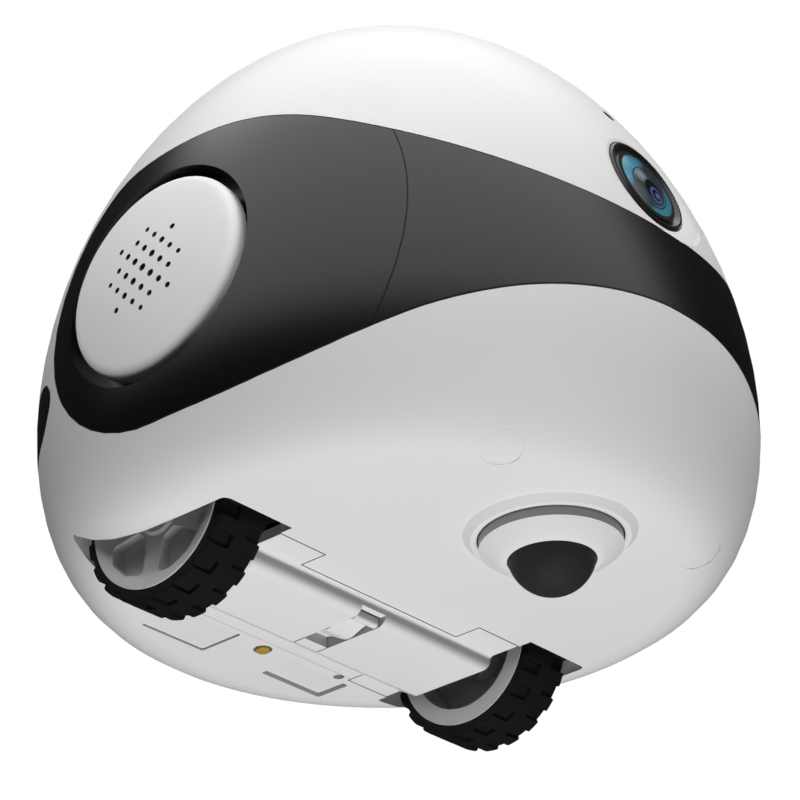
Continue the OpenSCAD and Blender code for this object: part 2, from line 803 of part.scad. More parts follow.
// Removable white cover under the drive: flat flange with rear tabs, rounded bulge, latch window
module belly_cover() {
    inner_wall = bulge_wall(cover_t);
    last = len(inner_wall) - 1;
    section = concat([[cover_front, base_z]], bulge_wall(0),
        [[bulge_flat_rear, low_z], [bulge_rear, base_z], [tab_rear, base_z],
         [tab_rear, base_z + cover_t], [bulge_rear - 0.6, base_z + cover_t],
         [bulge_flat_rear - 0.4, low_z + cover_t]],
        [for (i = [last:-1:0]) inner_wall[i]],
        [[cover_front, base_z + cover_t]]);
    ends = concat([[cover_half_w, base_z + 9], [-cover_half_w, base_z + 9]],
        arc([-cover_half_w + bulge_end_r, low_z + bulge_end_r], bulge_end_r, bulge_end_r, 180, 270, 6),
        arc([cover_half_w - bulge_end_r, low_z + bulge_end_r], bulge_end_r, bulge_end_r, 270, 360, 6));
    window_x = latch_x - latch_w / 2;
    color("white") difference() {
        union() {
            intersection() {
                side_prism(section);
                cross_prism(ends, cover_front - 1, tab_rear + 1);
            }
            translate([window_x - latch_rib_t, latch_front, low_z + cover_t / 2])
                cube([latch_w + 2 * latch_rib_t, latch_l + latch_rib_t, latch_rib_h - cover_t / 2]);
        }
        translate([-cover_step_x, cover_front - 1, 0]) cube([2 * cover_step_x, cover_step + 1, big]);
        translate([-tab_x - tab_slit, cover_rear, 0]) cube([2 * (tab_x + tab_slit), big, big]);
        both_sides() translate([tab_x, bulge_rear, 0]) cube([tab_slit, big, big]);
        translate([window_x, latch_front, 0]) cube([latch_w, latch_l, big]);
        translate([window_x, 0, 0]) cube([latch_w, latch_front + 1, latch_notch_z]);
    }
}

// Lower line of the latch from one place and depth to the next
function ease(u) = u * u * (3 - 2 * u);
function latch_wave(y0, d0, y1, d1) =
    [for (i = [1:8]) [y0 + (y1 - y0) * i / 8, low_z + d0 + (d1 - d0) * ease(i / 8)]];

// Spring finger of the cover, held at its rear bar: round nose, dip, crest and deep finger dip
module cover_latch() {
    front = latch_front + latch_gap;
    root = latch_rear - fit;
    bar = latch_rear - latch_bar;
    wave = concat(latch_wave(front + latch_flat, 0, latch_dip_front_y, latch_dip_front),
        latch_wave(latch_dip_front_y, latch_dip_front, latch_crest_y, 0),
        latch_wave(latch_crest_y, 0, bar - fit, latch_dip_rear));
    lower = concat(
        arc([front + latch_nose_r, low_z + latch_nose_r], latch_nose_r, latch_nose_r, 180, 270, 4),
        [[front + latch_flat, low_z]], wave, [[bar, low_z], [root, low_z]]);
    upper = concat([[root, low_z + latch_bar_t], [bar + latch_t, low_z + latch_bar_t]],
        [for (i = [len(wave) - 1:-1:4]) wave[i] + [0, latch_t]], [[front, low_z + latch_nose_t]]);
    color("white") translate([latch_x, 0, 0]) rotate([90, 0, 90])
        linear_extrude(height = latch_w - 2 * latch_gap, center = true) polygon(concat(lower, upper));
}

// Round plugs over the two case screws, flush with the underside
module screw_plugs() {
    color("white") both_sides() intersection() {
        translate([plug_x, plug_y, 0]) cylinder(r = plug_r, h = boss_seat_z - screw_head_t - 2 * fit);
        body_solid(fit);
    }
}
// Screw with a hexagon socket: its head's seat at z = 0, its tip towards +Z
module screw(length) {
    difference() {
        rod(screw_head_r, -screw_head_t, 0);
        rod(hex_r, -screw_head_t - 1, -screw_head_t + hex_d, $fn = 6);
    }
    rod(screw_r - screw_slack, -fit, length);
}
module case_screws() {
    color("silver") both_sides() translate([plug_x, plug_y, boss_seat_z - fit]) screw(case_screw_l);
}
// Thin pads in the two rear pockets, the right one longer and less sunk
module rear_pads() {
    left_z = base_z + left_pad_d;
    right_z = base_z + right_pad_d;
    color("gainsboro") {
        translate([pad_x, left_pad_y, 0])
            pad_block(pad_w - 2 * fit, left_pad_l - 2 * fit, left_z, left_z + pad_t - fit);
        translate([-pad_x, right_pad_y, 0])
            pad_block(pad_w - 2 * fit, right_pad_l - 2 * fit, right_z, right_z + pad_t - fit);
    }
}
// Charging contact: a short round-edged pin in a recess
module charge_contact() {
    edge = 0.25;
    color("gold") translate([0, contact_y, 0]) rotate_extrude() polygon(concat([[0, base_in]],
        [[0, base_z - contact_proud]],
        arc([contact_r - edge, base_z - contact_proud + edge], edge, edge, 270, 360, 4),
        [[contact_r, base_in]]));
}

// Caster: ball, cup above it and retaining cap below
module ball_space() {
    translate([0, 0, ball_r]) sphere(r = ball_r + caster_gap);
}
module caster_cap() {
    lip_r = sqrt(pow(ball_r + caster_gap, 2) - pow(ball_r - cap_lip_z, 2));
    color("white") translate([0, -caster_y, 0]) difference() {
        rotate_extrude() polygon(concat([[0, cap_lip_z], [lip_r + cap_lip_w, cap_lip_z]],
            [for (i = [1:6]) let (u = i / 6) [lip_r + cap_lip_w + (cap_r - lip_r - cap_lip_w) * u,
                cap_lip_z + (cap_edge_z - cap_lip_z) * pow(u, 1.25)]],
            [[cap_r, cap_seat_z], [0, cap_seat_z]]));
        ball_space();
    }
}
module caster_cup() {
    color("lightgray") translate([0, -caster_y, 0]) difference() {
        union() {
            rod(cap_r, cap_seat_z + fit, base_in + fit);
            intersection() {
                rod(cap_r + cup_flange_w, base_in + fit, base_in + fit + cup_flange_t);
                translate([0, caster_y, 0]) body_solid(wall + fit);
            }
            rod(ball_r + cup_wall, base_in, cup_top_z);
        }
        ball_space();
    }
}
module caster_ball() {
    color("#1c1c1c") translate([0, -caster_y, ball_r]) sphere(r = ball_r);
}

// Drive housing: roof, walls and ribs over the two motors, open towards the cover
module housing_screw_places() {
    both_sides() {
        translate([housing_screw_x, housing_front - housing_foot / 2, 0]) children();
        translate([housing_screw_x, housing_rear + housing_foot / 2, 0]) children();
    }
}
module drive_housing() {
    floor_z = base_in + fit;
    wall_h = roof_z + roof_t - floor_z;
    length = housing_rear - housing_front;
    color("lightgray") difference() {
        union() {
            translate([-side_x - side_t, housing_front, floor_z])
                cube([2 * (side_x + side_t), length, wall_h]);
            intersection() {
                translate([-housing_screw_x - 2.4, housing_front - housing_foot, floor_z])
                    cube([2 * housing_screw_x + 4.8, length + 2 * housing_foot, housing_flange_t]);
                body_solid(wall + fit);
            }
            for (side = [-1, 1]) wheel_frame(side) rod(axle_boss_r, side_x + side_t - 0.1, axle_boss_x);
        }
        for (side = [-1, 1]) wheel_frame(side) rod(bush_r + 0.02, 0, wheel_in);
        difference() {
            translate([-side_x, housing_front + housing_t, 0])
                cube([2 * side_x, length - 2 * housing_t, roof_z]);
            both_sides() translate([rib_x, 0, floor_z]) cube([rib_t, big, big]);
        }
        for (side = [-1, 1]) {
            wheel_frame(side) rod(axle_r + run, 0, wheel_in);
            motor_frame(side) rod(pinion_shaft_r + 0.4, 0, rib_x + rib_t + 1);
        }
        housing_screw_places() cylinder(r = screw_r + 0.1, h = big / 2);
    }
}
module housing_screws() {
    color("silver") housing_screw_places() translate([0, 0, base_in + housing_flange_t + 2 * fit])
        mirror([0, 0, 1]) screw(housing_screw_l);
}

// Motor can with its front boss and terminals
module motor(side) {
    color("silver") motor_frame(side) {
        difference() {
            rod(motor_r, motor_gap, rib_x - fit);
            rod(pinion_shaft_r + run, rib_x - 3, rib_x + 1);
        }
    }
}
module motor_right() {
    motor(-1);
}
module motor_left() {
    motor(1);
}
module pinion(side) {
    color("goldenrod") motor_frame(side) {
        translate([0, 0, gear_x]) rotate([0, 0, 180 / pinion_teeth]) linear_extrude(height = gear_w)
            polygon(gear_outline(pinion_teeth, 1, 1.2));
        rod(pinion_shaft_r, rib_x - pinion_grip, gear_x + gear_w + 0.6);
    }
}
module pinion_right() {
    pinion(-1);
}
module pinion_left() {
    pinion(1);
}
module drive_gear(side) {
    color("ivory") wheel_frame(side) difference() {
        union() {
            translate([0, 0, gear_x]) linear_extrude(height = gear_w)
                polygon(gear_outline(gear_teeth, 0.8, 1.25));
            rod(axle_r + 1, gear_x, gear_x + gear_w + gear_boss_l);
        }
        rod(axle_r + 0.02, gear_x - 1, gear_x + gear_w + gear_boss_l + 1);
    }
}
module drive_gear_right() {
    drive_gear(-1);
}
module drive_gear_left() {
    drive_gear(1);
}
module axle(side) {
    color("silver") wheel_frame(side) rod(axle_r, rib_x + 0.1, axle_end - fit);
}
module axle_right() {
    axle(-1);
}
module axle_left() {
    axle(1);
}
module axle_bush(side) {
    color("burlywood") wheel_frame(side) tube(bush_r, axle_r + run, side_x + 0.1, axle_boss_x + 0.2);
}
module axle_bush_right() {
    axle_bush(-1);
}
module axle_bush_left() {
    axle_bush(1);
}

// Wheel hub: deep rim, dished web, five-spoke face and a blind axle boss
module hub_window() {
    half = 180 / hub_windows - 9;
    inner = hub_boss_r + 1;
    outer = rim_r - rim_t + 0.2;
    linear_extrude(height = 10) polygon(rounded([inner * [cos(half * 0.55), sin(half * 0.55)],
        inner * [cos(half * 0.55), -sin(half * 0.55)], outer * [cos(half), -sin(half)],
        outer * 1.08 * [cos(half * 0.35), -sin(half * 0.35)],
        outer * 1.08 * [cos(half * 0.35), sin(half * 0.35)],
        outer * [cos(half), sin(half)]], 0.7, 4));
}
module hub_right() {
    face = wheel_out - hub_dish;
    web = face - spoke_t - web_t;
    color("gray") wheel_frame(-1) difference() {
        rotate_extrude() polygon([[0, wheel_in + 0.4], [hub_boss_r, wheel_in + 0.4], [hub_boss_r, web],
            [rim_r - rim_t, web], [rim_r - rim_t, wheel_in], [rim_r, wheel_in], [rim_r, wheel_out + 0.2],
            [rim_r - 0.7, wheel_out + 0.2], [rim_r - rim_t, face], [hub_boss_r + 0.4, face],
            [hub_boss_r, face + 0.3], [0, face + 0.3]]);
        rod(axle_r + 0.02, wheel_in - 1, axle_end);
        for (k = [0:hub_windows - 1]) rotate([0, 0, window_turn + 360 * k / hub_windows])
            translate([0, 0, face - spoke_t]) hub_window();
    }
}
module hub_left() {
    mirror([1, 0, 0]) hub_right();
}
// Rubber tyre with shoulder notches and hooked centre grooves
module tread_cut(z0, z1, turn, width) {
    for (k = [0:lugs - 1]) rotate([0, 0, 360 * k / lugs + turn])
        translate([tyre_r - tread_d, -width / 2, z0]) cube([tread_d + 1, width, z1 - z0]);
}
module tyre_right() {
    lug = 360 / lugs;
    groove = 0.9;
    color("#1a1a1a") wheel_frame(-1) difference() {
        rotate_extrude() polygon([[rim_r + 0.02, wheel_in + 0.1], [tyre_r - shoulder, wheel_in + 0.1],
            [tyre_r, wheel_in + 0.1 + shoulder], [tyre_r, wheel_out - shoulder],
            [tyre_r - shoulder, wheel_out], [rim_r + 0.02, wheel_out]]);
        tread_cut(wheel_in - 1, wheel_in + 2, 0, groove);
        tread_cut(wheel_in + 3, wheel_in + 3.9, lug * 0.62, groove * 2.2);
        tread_cut(wheel_in + 3.8, wheel_in + 6, lug * 0.4, groove);
        tread_cut(wheel_out - 2, wheel_out + 1, lug / 2, groove);
    }
}
module tyre_left() {
    mirror([1, 0, 0]) tyre_right();
}

// Inner frame over the drive housing: battery tray and board posts
module board_places() {
    for (x = [-1, 1], y = [frame_front + board_post_in, frame_rear - board_post_in])
        translate([x * (frame_w / 2 - board_post_in), y, 0]) children();
}
module inner_frame() {
    color("darkgray") difference() {
        union() {
            translate([0, frame_mid_y, frame_z]) linear_extrude(height = frame_t)
                polygon(rounded(rectangle(frame_w, frame_rear - frame_front), 4));
            for (x = [-1, 1], y = [-1, 1]) translate([x * frame_foot_x, axle_y + y * frame_foot_y, 0])
                rod(frame_foot_r, roof_z + roof_t + fit, frame_z + 0.1);
            board_places() rod(board_post_r, frame_z, board_z);
        }
        board_places() rod(screw_r, board_z - board_screw_l, board_z + 1);
    }
}
module battery() {
    color("steelblue") translate([0, frame_mid_y, frame_z + frame_t + fit]) linear_extrude(height = battery_h)
        polygon(rounded(rectangle(battery_w, battery_l), 2));
}
module main_board() {
    color("seagreen") difference() {
        union() {
            translate([0, frame_mid_y, board_z + fit]) linear_extrude(height = board_t)
                polygon(rounded(rectangle(frame_w, frame_rear - frame_front), 3));
            translate([0, frame_mid_y, board_z + fit + board_t - 0.1]) {
                translate([-chip_w / 2, -chip_w / 2, 0]) cube([chip_w, chip_w, chip_t]);
                translate([-frame_w / 2 + 2 * board_post_in, 8, 0]) cube([chip_w / 2, chip_w / 2, chip_t]);
            }
        }
        board_places() rod(screw_r + 0.2, board_z - 1, board_z + 2 * board_t);
    }
}

module board_screws() {
    color("silver") board_places() translate([0, 0, board_z + board_t + 2 * fit])
        mirror([0, 0, 1]) screw(board_screw_l);
}

// Camera: bezel funnel, barrel, domed front glass, inner lens and board
module lens_bezel() {
    flange = bezel_r + bezel_flange_w;
    back = bezel_flange_z - bezel_flange_t;
    collar = barrel_r + fit + collar_w;
    groove_r = collar + bezel_groove_w;
    color("#202020") lens_frame() rotate_extrude() polygon([[barrel_r + fit, back], [flange, back],
        [flange, bezel_flange_z], [bezel_r, bezel_flange_z], [bezel_r, 0],
        [bezel_r - bezel_edge, bezel_proud], [bezel_r - bezel_rim_w, bezel_proud],
        [groove_r, -bezel_groove_d], [collar, glass_rise], [barrel_r + fit, glass_rise]]);
}
module lens_barrel() {
    color("black") lens_frame() difference() {
        rod(barrel_r, -barrel_l, glass_rise);
        rod(inner_lens_r + 0.05, -inner_lens_seat, 1);
        rod(inner_lens_r - 1, -barrel_l + 1.5, 1);
    }
}
// Flat-backed lens turned from an arc
function lens_profile(r, rise, seat) = let (ball = (r * r + rise * rise) / (2 * rise), reach = asin(r / ball))
    concat([[0, seat]], [for (i = [8:-1:0]) let (a = reach * i / 8)
        [ball * sin(a), seat + rise - ball * (1 - cos(a))]]);
module lens_glass() {
    color("cyan") lens_frame() rotate_extrude() polygon(lens_profile(glass_r, glass_t, fit + glass_rise));
}
module inner_lens() {
    color("purple") lens_frame()
        rotate_extrude() polygon(lens_profile(inner_lens_r, inner_lens_t, fit - inner_lens_seat));
}
module camera_board() {
    w = camera_board_w;
    color("seagreen") lens_frame() translate([-w / 2, -w / 2, -barrel_l - fit - camera_board_t])
        cube([w, w, camera_board_t]);
}
module microphone() {
    color("black") mic_frame() rod(mic_r, -wall - mic_h - 0.15, -wall - 0.15);
}

upper_shell();
lower_shell();
front_band();
ear_panel_right();
ear_panel_left();
speaker_cover_right();
speaker_cover_left();
speaker_driver();
rear_strip();
power_button();
button_board();
charge_socket();
belly_cover();
cover_latch();
screw_plugs();
case_screws();
rear_pads();
charge_contact();
caster_cap();
caster_cup();
caster_ball();
drive_housing();
housing_screws();
motor_right();
motor_left();
pinion_right();
pinion_left();
drive_gear_right();
drive_gear_left();
axle_right();
axle_left();
axle_bush_right();
axle_bush_left();
hub_right();
hub_left();
tyre_right();
tyre_left();
inner_frame();
battery();
main_board();
board_screws();
lens_bezel();
lens_barrel();
lens_glass();
inner_lens();
camera_board();
microphone();
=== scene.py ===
"""Looks of the rolling pet robot: satin white shells, black band, treaded tyres, coated camera lens."""
import json
import math

import bmesh
import bpy
import numpy as np
from mathutils import Matrix, Vector


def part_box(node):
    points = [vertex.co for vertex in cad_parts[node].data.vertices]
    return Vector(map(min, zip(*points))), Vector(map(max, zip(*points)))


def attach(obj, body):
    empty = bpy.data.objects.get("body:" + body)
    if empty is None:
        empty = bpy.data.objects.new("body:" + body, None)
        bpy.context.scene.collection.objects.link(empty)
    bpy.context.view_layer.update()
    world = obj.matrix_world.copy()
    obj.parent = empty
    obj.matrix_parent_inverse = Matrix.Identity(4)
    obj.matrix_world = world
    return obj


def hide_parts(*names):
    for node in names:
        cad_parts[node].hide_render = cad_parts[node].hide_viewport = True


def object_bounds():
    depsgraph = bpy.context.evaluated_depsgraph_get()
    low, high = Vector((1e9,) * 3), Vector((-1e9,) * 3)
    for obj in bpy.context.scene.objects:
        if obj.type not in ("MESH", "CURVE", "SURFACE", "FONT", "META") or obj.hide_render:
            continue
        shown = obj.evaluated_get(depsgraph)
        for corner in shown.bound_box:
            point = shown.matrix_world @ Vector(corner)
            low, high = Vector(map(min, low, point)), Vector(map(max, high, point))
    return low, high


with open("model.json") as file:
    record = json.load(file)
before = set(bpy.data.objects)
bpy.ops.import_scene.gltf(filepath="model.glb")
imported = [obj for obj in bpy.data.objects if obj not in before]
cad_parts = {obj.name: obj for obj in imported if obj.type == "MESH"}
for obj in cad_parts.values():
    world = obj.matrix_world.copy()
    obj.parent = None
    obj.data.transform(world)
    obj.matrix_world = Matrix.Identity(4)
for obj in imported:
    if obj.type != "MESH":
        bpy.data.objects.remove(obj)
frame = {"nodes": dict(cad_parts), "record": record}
cad_low, cad_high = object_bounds()
record = frame["record"]
BODY_OF = {node: body for body, nodes in record["behaviour"]["bodies"].items() for node in nodes}
SLOT_OF = {part["node"]: part["material_slot"] for part in record["subparts"]}
HANDS = (("right", -1), ("left", 1))
MM = 0.001
NEAR_ZERO = 1e-9
NO_AREA = 1e-20

# Body of revolution: a superelliptic dome over a superelliptic lower edge
BODY_R = 48 * MM
WIDEST_Z = 31 * MM
DOME_H = cad_high.z - WIDEST_Z
DOME_POWER = 1.87
BASE_Z = 8.4 * MM
BASE_R = 35.2 * MM
BASE_POWER = 2.2

# Merging and shading of the copies
WELD = 0.0005 * MM
SHARP_DEG = 32
SHELL_SHARP_DEG = 25
FINE_SHARP_DEG = 28
BALL_SHARP_DEG = 60
SKIN_REACH = 0.16 * MM
SKIN_NEAR = 0.05 * MM
SKIN_FACING = 0.85
FLUSH = 0.95

# Camera
LENS_TILT = math.radians(15)
LENS_AXIS = Vector((0, -math.cos(LENS_TILT), math.sin(LENS_TILT)))
LENS_RISE = Vector((0, math.sin(LENS_TILT), math.cos(LENS_TILT)))
GLASS_LOW, GLASS_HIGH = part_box("lens_glass")
GLASS_MIDDLE = (GLASS_LOW + GLASS_HIGH) / 2
GLASS_R = (GLASS_HIGH.x - GLASS_LOW.x) / 2
DISH_R = 12.5 * MM
DISH_BLEND = 0.3 * MM
DISH_SUNK = 0.2 * MM

# Lens coating and painted reflections. Each layer has its mask, its place and sizes in radii of the
# glass, and its colour.
COATING_RUN = (0.78 * Vector((1, 0, 0)) - 0.63 * LENS_RISE).normalized()
COATING_BASE = (0.035, 0.06, 0.07, 1)
COATING_CYAN = (0.07, 0.31, 0.43, 1)
COATING_ENDS = (0.3, 0.62)
# Painted reflections: the pale spot, and the violet ring and spot.
COATING_AND_REFLECTION_LAYERS = {
    "dark_middle": ("spot", (0.06, 0.2), (0.55, 0.66), (0.05, 0.065, 0.075, 1)),
    "painted_pale_reflection": ("spot", (-0.38, 0.16), (0.08, 0.36), (0.26, 0.33, 0.37, 1)),
    "iris": ("spot", (0.18, 0.2), (0.32, 0.40), (0.008, 0.010, 0.012, 1)),
    "painted_violet_ring_reflection": ("ring", (0.32, 0.26), (0.22, 0.07), (0.11, 0.14, 0.46, 1)),
    "painted_violet_spot_reflection": ("spot", (0.36, 0.24), (0.04, 0.14), (0.16, 0.21, 0.33, 1)),
    "dark_edge": ("ring", (0.06, 0.2), (0.66, 0.04), (0.02, 0.025, 0.028, 1)),
}
GLASS_ROUGHNESS = 0.05
GLASS_COAT = 0.6
GLASS_COAT_ROUGHNESS = 0.03

# Underside recesses with painted shade on their steep walls, the raised ring round the caster, and the
# sound holes with painted shade on their walls
RECESS_Z = 10.4 * MM
WALL_TILT = (0.3, 0.75)
CAP_LOW, CAP_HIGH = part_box("caster_cap")
RING_W = 1.95 * MM
RING_R = (CAP_HIGH.x - CAP_LOW.x) / 2 + RING_W
GRILLE_R = 10 * MM
HOLE_TILT = 0.6

# Tyres
TREAD_LUGS = 20
TREAD_DEPTH = 0.5 * MM
TREAD_WALL = 0.12 * MM
TREAD_SHOULDER = 0.55 * MM
SHOULDER_STEPS = 5
TREAD_PITCH_ALONG = 0.4 * MM
TREAD_PITCH_ACROSS = 0.8 * MM
INNER_NOTCH_L = 2.85 * MM
INNER_NOTCH = (0.30, 0.78)
OUTER_NOTCH_L = 3.05 * MM
OUTER_NOTCH = (0.78, 1.28)
RIM_R = 10.72 * MM
SEGMENT_WELD = 0.002 * MM
TYRE_SHARP_DEG = 35

# Sleeve in the microphone hole, as radius and rise in millimetres
GASKET_PROFILE = ((0.93, -0.08), (0.93, -1.9), (0.75, -1.9), (0.75, -0.3))
GASKET_TURNS = 32
GASKET_SHARP_DEG = 40

# Ear seams, screw plugs and the seals in the gaps
EAR_Y = 0.6 * MM
EAR_Z = 37 * MM
EAR_RIM_R = 17 * MM
EAR_SEAM_R = 32.7 * MM
EAR_SEAM_W = 0.15 * MM
EAR_SEAL_SHARE = 0.6
EAR_SEAL_DEPTH = 0.05 * MM
EAR_SEAL_STEPS = 80
PLUG_R = 2.5 * MM
PLUG_GAP = (-0.01 * MM, 0.11 * MM)
PLUG_SEAL_DEPTH = 0.1 * MM
PLUG_SEAL_STEPS = 48
SEAL_T = 0.3 * MM

# Dark strip under the band, a painted shadow of the seam's gap: its section as way down and depth in
# millimetres, and the seam's edges
BAND_PAINTED_SHADOW_SECTION = ((-0.14, -0.008), (0.12, -0.008), (0.12, 0.35), (-0.14, 0.35))
SEAM_ANGLE = 0.8
SEAM_SKIN_FACING = 0.9
SEAM_WALL_FACING = 0.6
SEAM_WALL_DOWN = -0.3

# Surface effects
CLOUD_DETAIL = 3.0
GRAIN_DETAIL = 2.0
MOTTLE_SCALE = 45.0
TURNING_DEPTH = 0.003 * MM
TURNING_STRETCH = (1.0, 0.03, 0.03)
TURNING_ROUGHNESS = 0.12
METAL_CLOUD_SCALE = 150.0
METAL_BRIGHT = 1.05
METAL_DRIFT = 0.15

# Floor, world and lamps. Each lamp has its azimuth, elevation and level.
FLOOR_HALF = 3.0
FLOOR_LEVEL = 0.8
FLOOR_FADE = (0.1, 0.3)
SKY_LEVEL = 0.03
SKY_SLOPE = 0.25
CEILING_AZIMUTH = -50
CEILING_RISE = (0.12, 0.42)
CEILING_SIDE = (-0.2, 0.12)
CEILING_TOP = (0.78, 0.9)
FAR_TOP_LEVEL = 1.5
CEILING_LEVEL = 0.52
CEILING_SLOPE = 0.5
ROOM_LEVEL = 0.015
LAMP_AIM = Vector((0, 0, 40 * MM))
LAMP_DISTANCE = 0.35
LAMP_SIZE = 0.25
LAMPS = {
    "key": (-50, 35, 0.31),
    "front": (-20, 35, 0.42),
    "side_high": (-110, 45, 0.37),
    "front_left": (70, 35, 0.45),
    "under": (-50, -85, 0.66),
    "front_low": (-20, -60, 0.15),
    "rear_fill": (150, 30, 0.40),
}

# Viewpoint
VIEW_AZIMUTH = -50.1
VIEW_ELEVATION = -29.34
VIEW_ROLL = math.radians(-2.06)
VIEW_AIM = Vector((0, -0.48, 36.9)) * MM
VIEW_DISTANCE = 407.15 * MM
VIEW_LENS = 136.23
VIEW_SENSOR = 36
VIEW_CLIP = 0.01


# Body surface

def body_gradient(p):
    """Gradient and level of the body's implicit surface at points p."""
    r = np.hypot(p[:, 0], p[:, 1])
    up = p[:, 2] >= WIDEST_Z
    flat = np.clip(r - BASE_R, 0, None)
    width = np.where(up, BODY_R, BODY_R - BASE_R)
    height = np.where(up, DOME_H, WIDEST_Z - BASE_Z)
    power = np.where(up, DOME_POWER, BASE_POWER)
    u = np.where(up, r, flat) / width
    v = np.abs(p[:, 2] - WIDEST_Z) / height
    level = u ** power + v ** power - 1
    du = power * u ** (power - 1) / width
    dv = power * np.clip(v, NEAR_ZERO, None) ** (power - 1) / height * np.where(up, 1, -1)
    safe = np.where(r > NEAR_ZERO, r, 1)
    grad = np.stack([du * p[:, 0] / safe, du * p[:, 1] / safe, dv], axis=1)
    return grad, level


def body_normals(p):
    """Outward normals of the body's surface at points p."""
    grad, _ = body_gradient(p)
    return grad / np.linalg.norm(grad, axis=1, keepdims=True)


def body_distance(p):
    """Distance of points p from the body's surface, negative inside."""
    grad, level = body_gradient(p)
    return level / np.linalg.norm(grad, axis=1)


def body_radius(z):
    """Radius of the body's surface at a height."""
    up = z >= WIDEST_Z
    share = np.abs(z - WIDEST_Z) / np.where(up, DOME_H, WIDEST_Z - BASE_Z)
    power = np.where(up, DOME_POWER, BASE_POWER)
    reach = np.where(up, BODY_R, BODY_R - BASE_R)
    return np.where(up, 0, BASE_R) + reach * (1 - share ** power) ** (1 / power)


def base_height(x, y):
    """Height of the body's lower surface at a place."""
    share = np.clip((np.hypot(x, y) - BASE_R) / (BODY_R - BASE_R), 0, None)
    return WIDEST_Z - (WIDEST_Z - BASE_Z) * (1 - share ** BASE_POWER) ** (1 / BASE_POWER)


# Meshes and pieces

def link_piece(name, mesh, body, slot, *nodes):
    """A finished piece at the origin that rides on a body and stands for CAD nodes."""
    piece = bpy.data.objects.new(name, mesh)
    bpy.context.scene.collection.objects.link(piece)
    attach(piece, body)
    if nodes:
        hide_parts(*nodes)
    return piece


def ring_faces(a, b, count):
    """Faces between two rings of corners that start at the numbers a and b."""
    return [(a + k, b + k, b + (k + 1) % count, a + (k + 1) % count) for k in range(count)]


def make_mesh(name, verts, faces, *materials):
    """Mesh from plain lists of places and faces."""
    mesh = bpy.data.meshes.new(name)
    mesh.from_pydata([tuple(place) for place in verts], [], faces)
    for material in materials:
        mesh.materials.append(material)
    return mesh


def merged_mesh(node):
    """Copy of a CAD node's mesh with its corners merged."""
    mesh = frame["nodes"][node].data.copy()
    mesh.name = node + "_mesh"
    mesh.attributes.remove(mesh.attributes["custom_normal"])
    bm = bmesh.new()
    bm.from_mesh(mesh)
    bmesh.ops.remove_doubles(bm, verts=bm.verts, dist=WELD)
    bm.to_mesh(mesh)
    bm.free()
    return mesh


def smooth_piece(node, material, sharp_deg=SHARP_DEG, on_body=False, mark=None):
    """Merged copy of a CAD node with smooth shading, exact on the body's outer surface."""
    mesh = merged_mesh(node)
    mesh.shade_smooth()
    mesh.set_sharp_from_angle(angle=math.radians(sharp_deg))
    if on_body:
        set_body_normals(mesh)
    if mark:
        set_recess(mesh, mark(node, *corner_data(mesh)))
    mesh.materials.clear()
    mesh.materials.append(material)
    return link_piece(node + "_skin", mesh, BODY_OF[node], SLOT_OF[node], node)


def vertex_places(mesh):
    """Places of a mesh's vertices."""
    place = np.empty(len(mesh.vertices) * 3, np.float32)
    mesh.vertices.foreach_get("co", place)
    return place.reshape(-1, 3)


def corner_data(mesh):
    """Places and normals of a mesh's corners."""
    count = len(mesh.loops)
    normal = np.empty(count * 3, np.float32)
    mesh.corner_normals.foreach_get("vector", normal)
    index = np.empty(count, np.int32)
    mesh.loops.foreach_get("vertex_index", index)
    return vertex_places(mesh)[index].astype(float), normal.reshape(-1, 3).astype(float)


def in_dish(place):
    """Whether places lie within the round dish of the camera."""
    from_axis = np.cross(place - np.array(GLASS_MIDDLE), np.array(LENS_AXIS))
    return (np.linalg.norm(from_axis, axis=1) < DISH_R) & (place[:, 1] < 0)


def set_body_normals(mesh):
    """Corners of faces that lie on the body's outer surface take that surface's own normal.

    In the dish round the camera the normal changes over to the dish's own with depth.
    """
    place, normal = corner_data(mesh)
    tri = place.reshape(-1, 3, 3)
    face = np.cross(tri[:, 1] - tri[:, 0], tri[:, 2] - tri[:, 0])
    face /= np.clip(np.linalg.norm(face, axis=1, keepdims=True), NO_AREA, None)
    middle = tri.mean(axis=1)
    dished = in_dish(middle)
    on_ring = np.hypot(middle[:, 0], middle[:, 1] - (CAP_LOW.y + CAP_HIGH.y) / 2) < RING_R
    on_ring &= middle[:, 2] < RECESS_Z
    on_skin = np.abs(body_distance(middle)) < np.where(dished, DISH_BLEND, SKIN_REACH)
    on_skin &= ((face * body_normals(middle)).sum(axis=1) > SKIN_FACING) & ~on_ring
    share = np.clip(-body_distance(place) / DISH_BLEND, 0, 1)
    share = np.where(np.repeat(dished, 3), share, 0)[:, None]
    blend = body_normals(place) * (1 - share) + normal * share
    blend /= np.linalg.norm(blend, axis=1, keepdims=True)
    chosen = np.where(np.repeat(on_skin, 3)[:, None], blend, normal)
    mesh.normals_split_custom_set([tuple(n) for n in chosen])


def set_recess(mesh, level):
    """Corner attribute that a material's second colour reads: painted shade on walls, and a white patch
    on the band in the camera dish.
    """
    mark = mesh.attributes.new("recess", "FLOAT", "CORNER")
    mark.data.foreach_set("value", level.astype(np.float32))


def painted_shade_on_steep_walls(_node, place, normal):
    """1 on the steep walls of the underside's recesses, steps and gaps, where the material paints shade.
    """
    low, high = WALL_TILT
    steep = np.clip((high - np.abs(normal[:, 2])) / (high - low), 0, 1)
    skin = np.abs(body_distance(place)) < SKIN_NEAR
    skin &= (normal * body_normals(place)).sum(axis=1) > FLUSH
    return np.where((place[:, 2] < RECESS_Z) & ~skin, steep, 0)


def dish_floor(_node, place, normal):
    """1 on the floor of the camera dish, so that it is white where it cuts the band's upper edge."""
    sunk = in_dish(place) & (body_distance(place) < -DISH_SUNK)
    return np.where(sunk & (normal @ np.array(LENS_AXIS) > FLUSH), 1, 0)


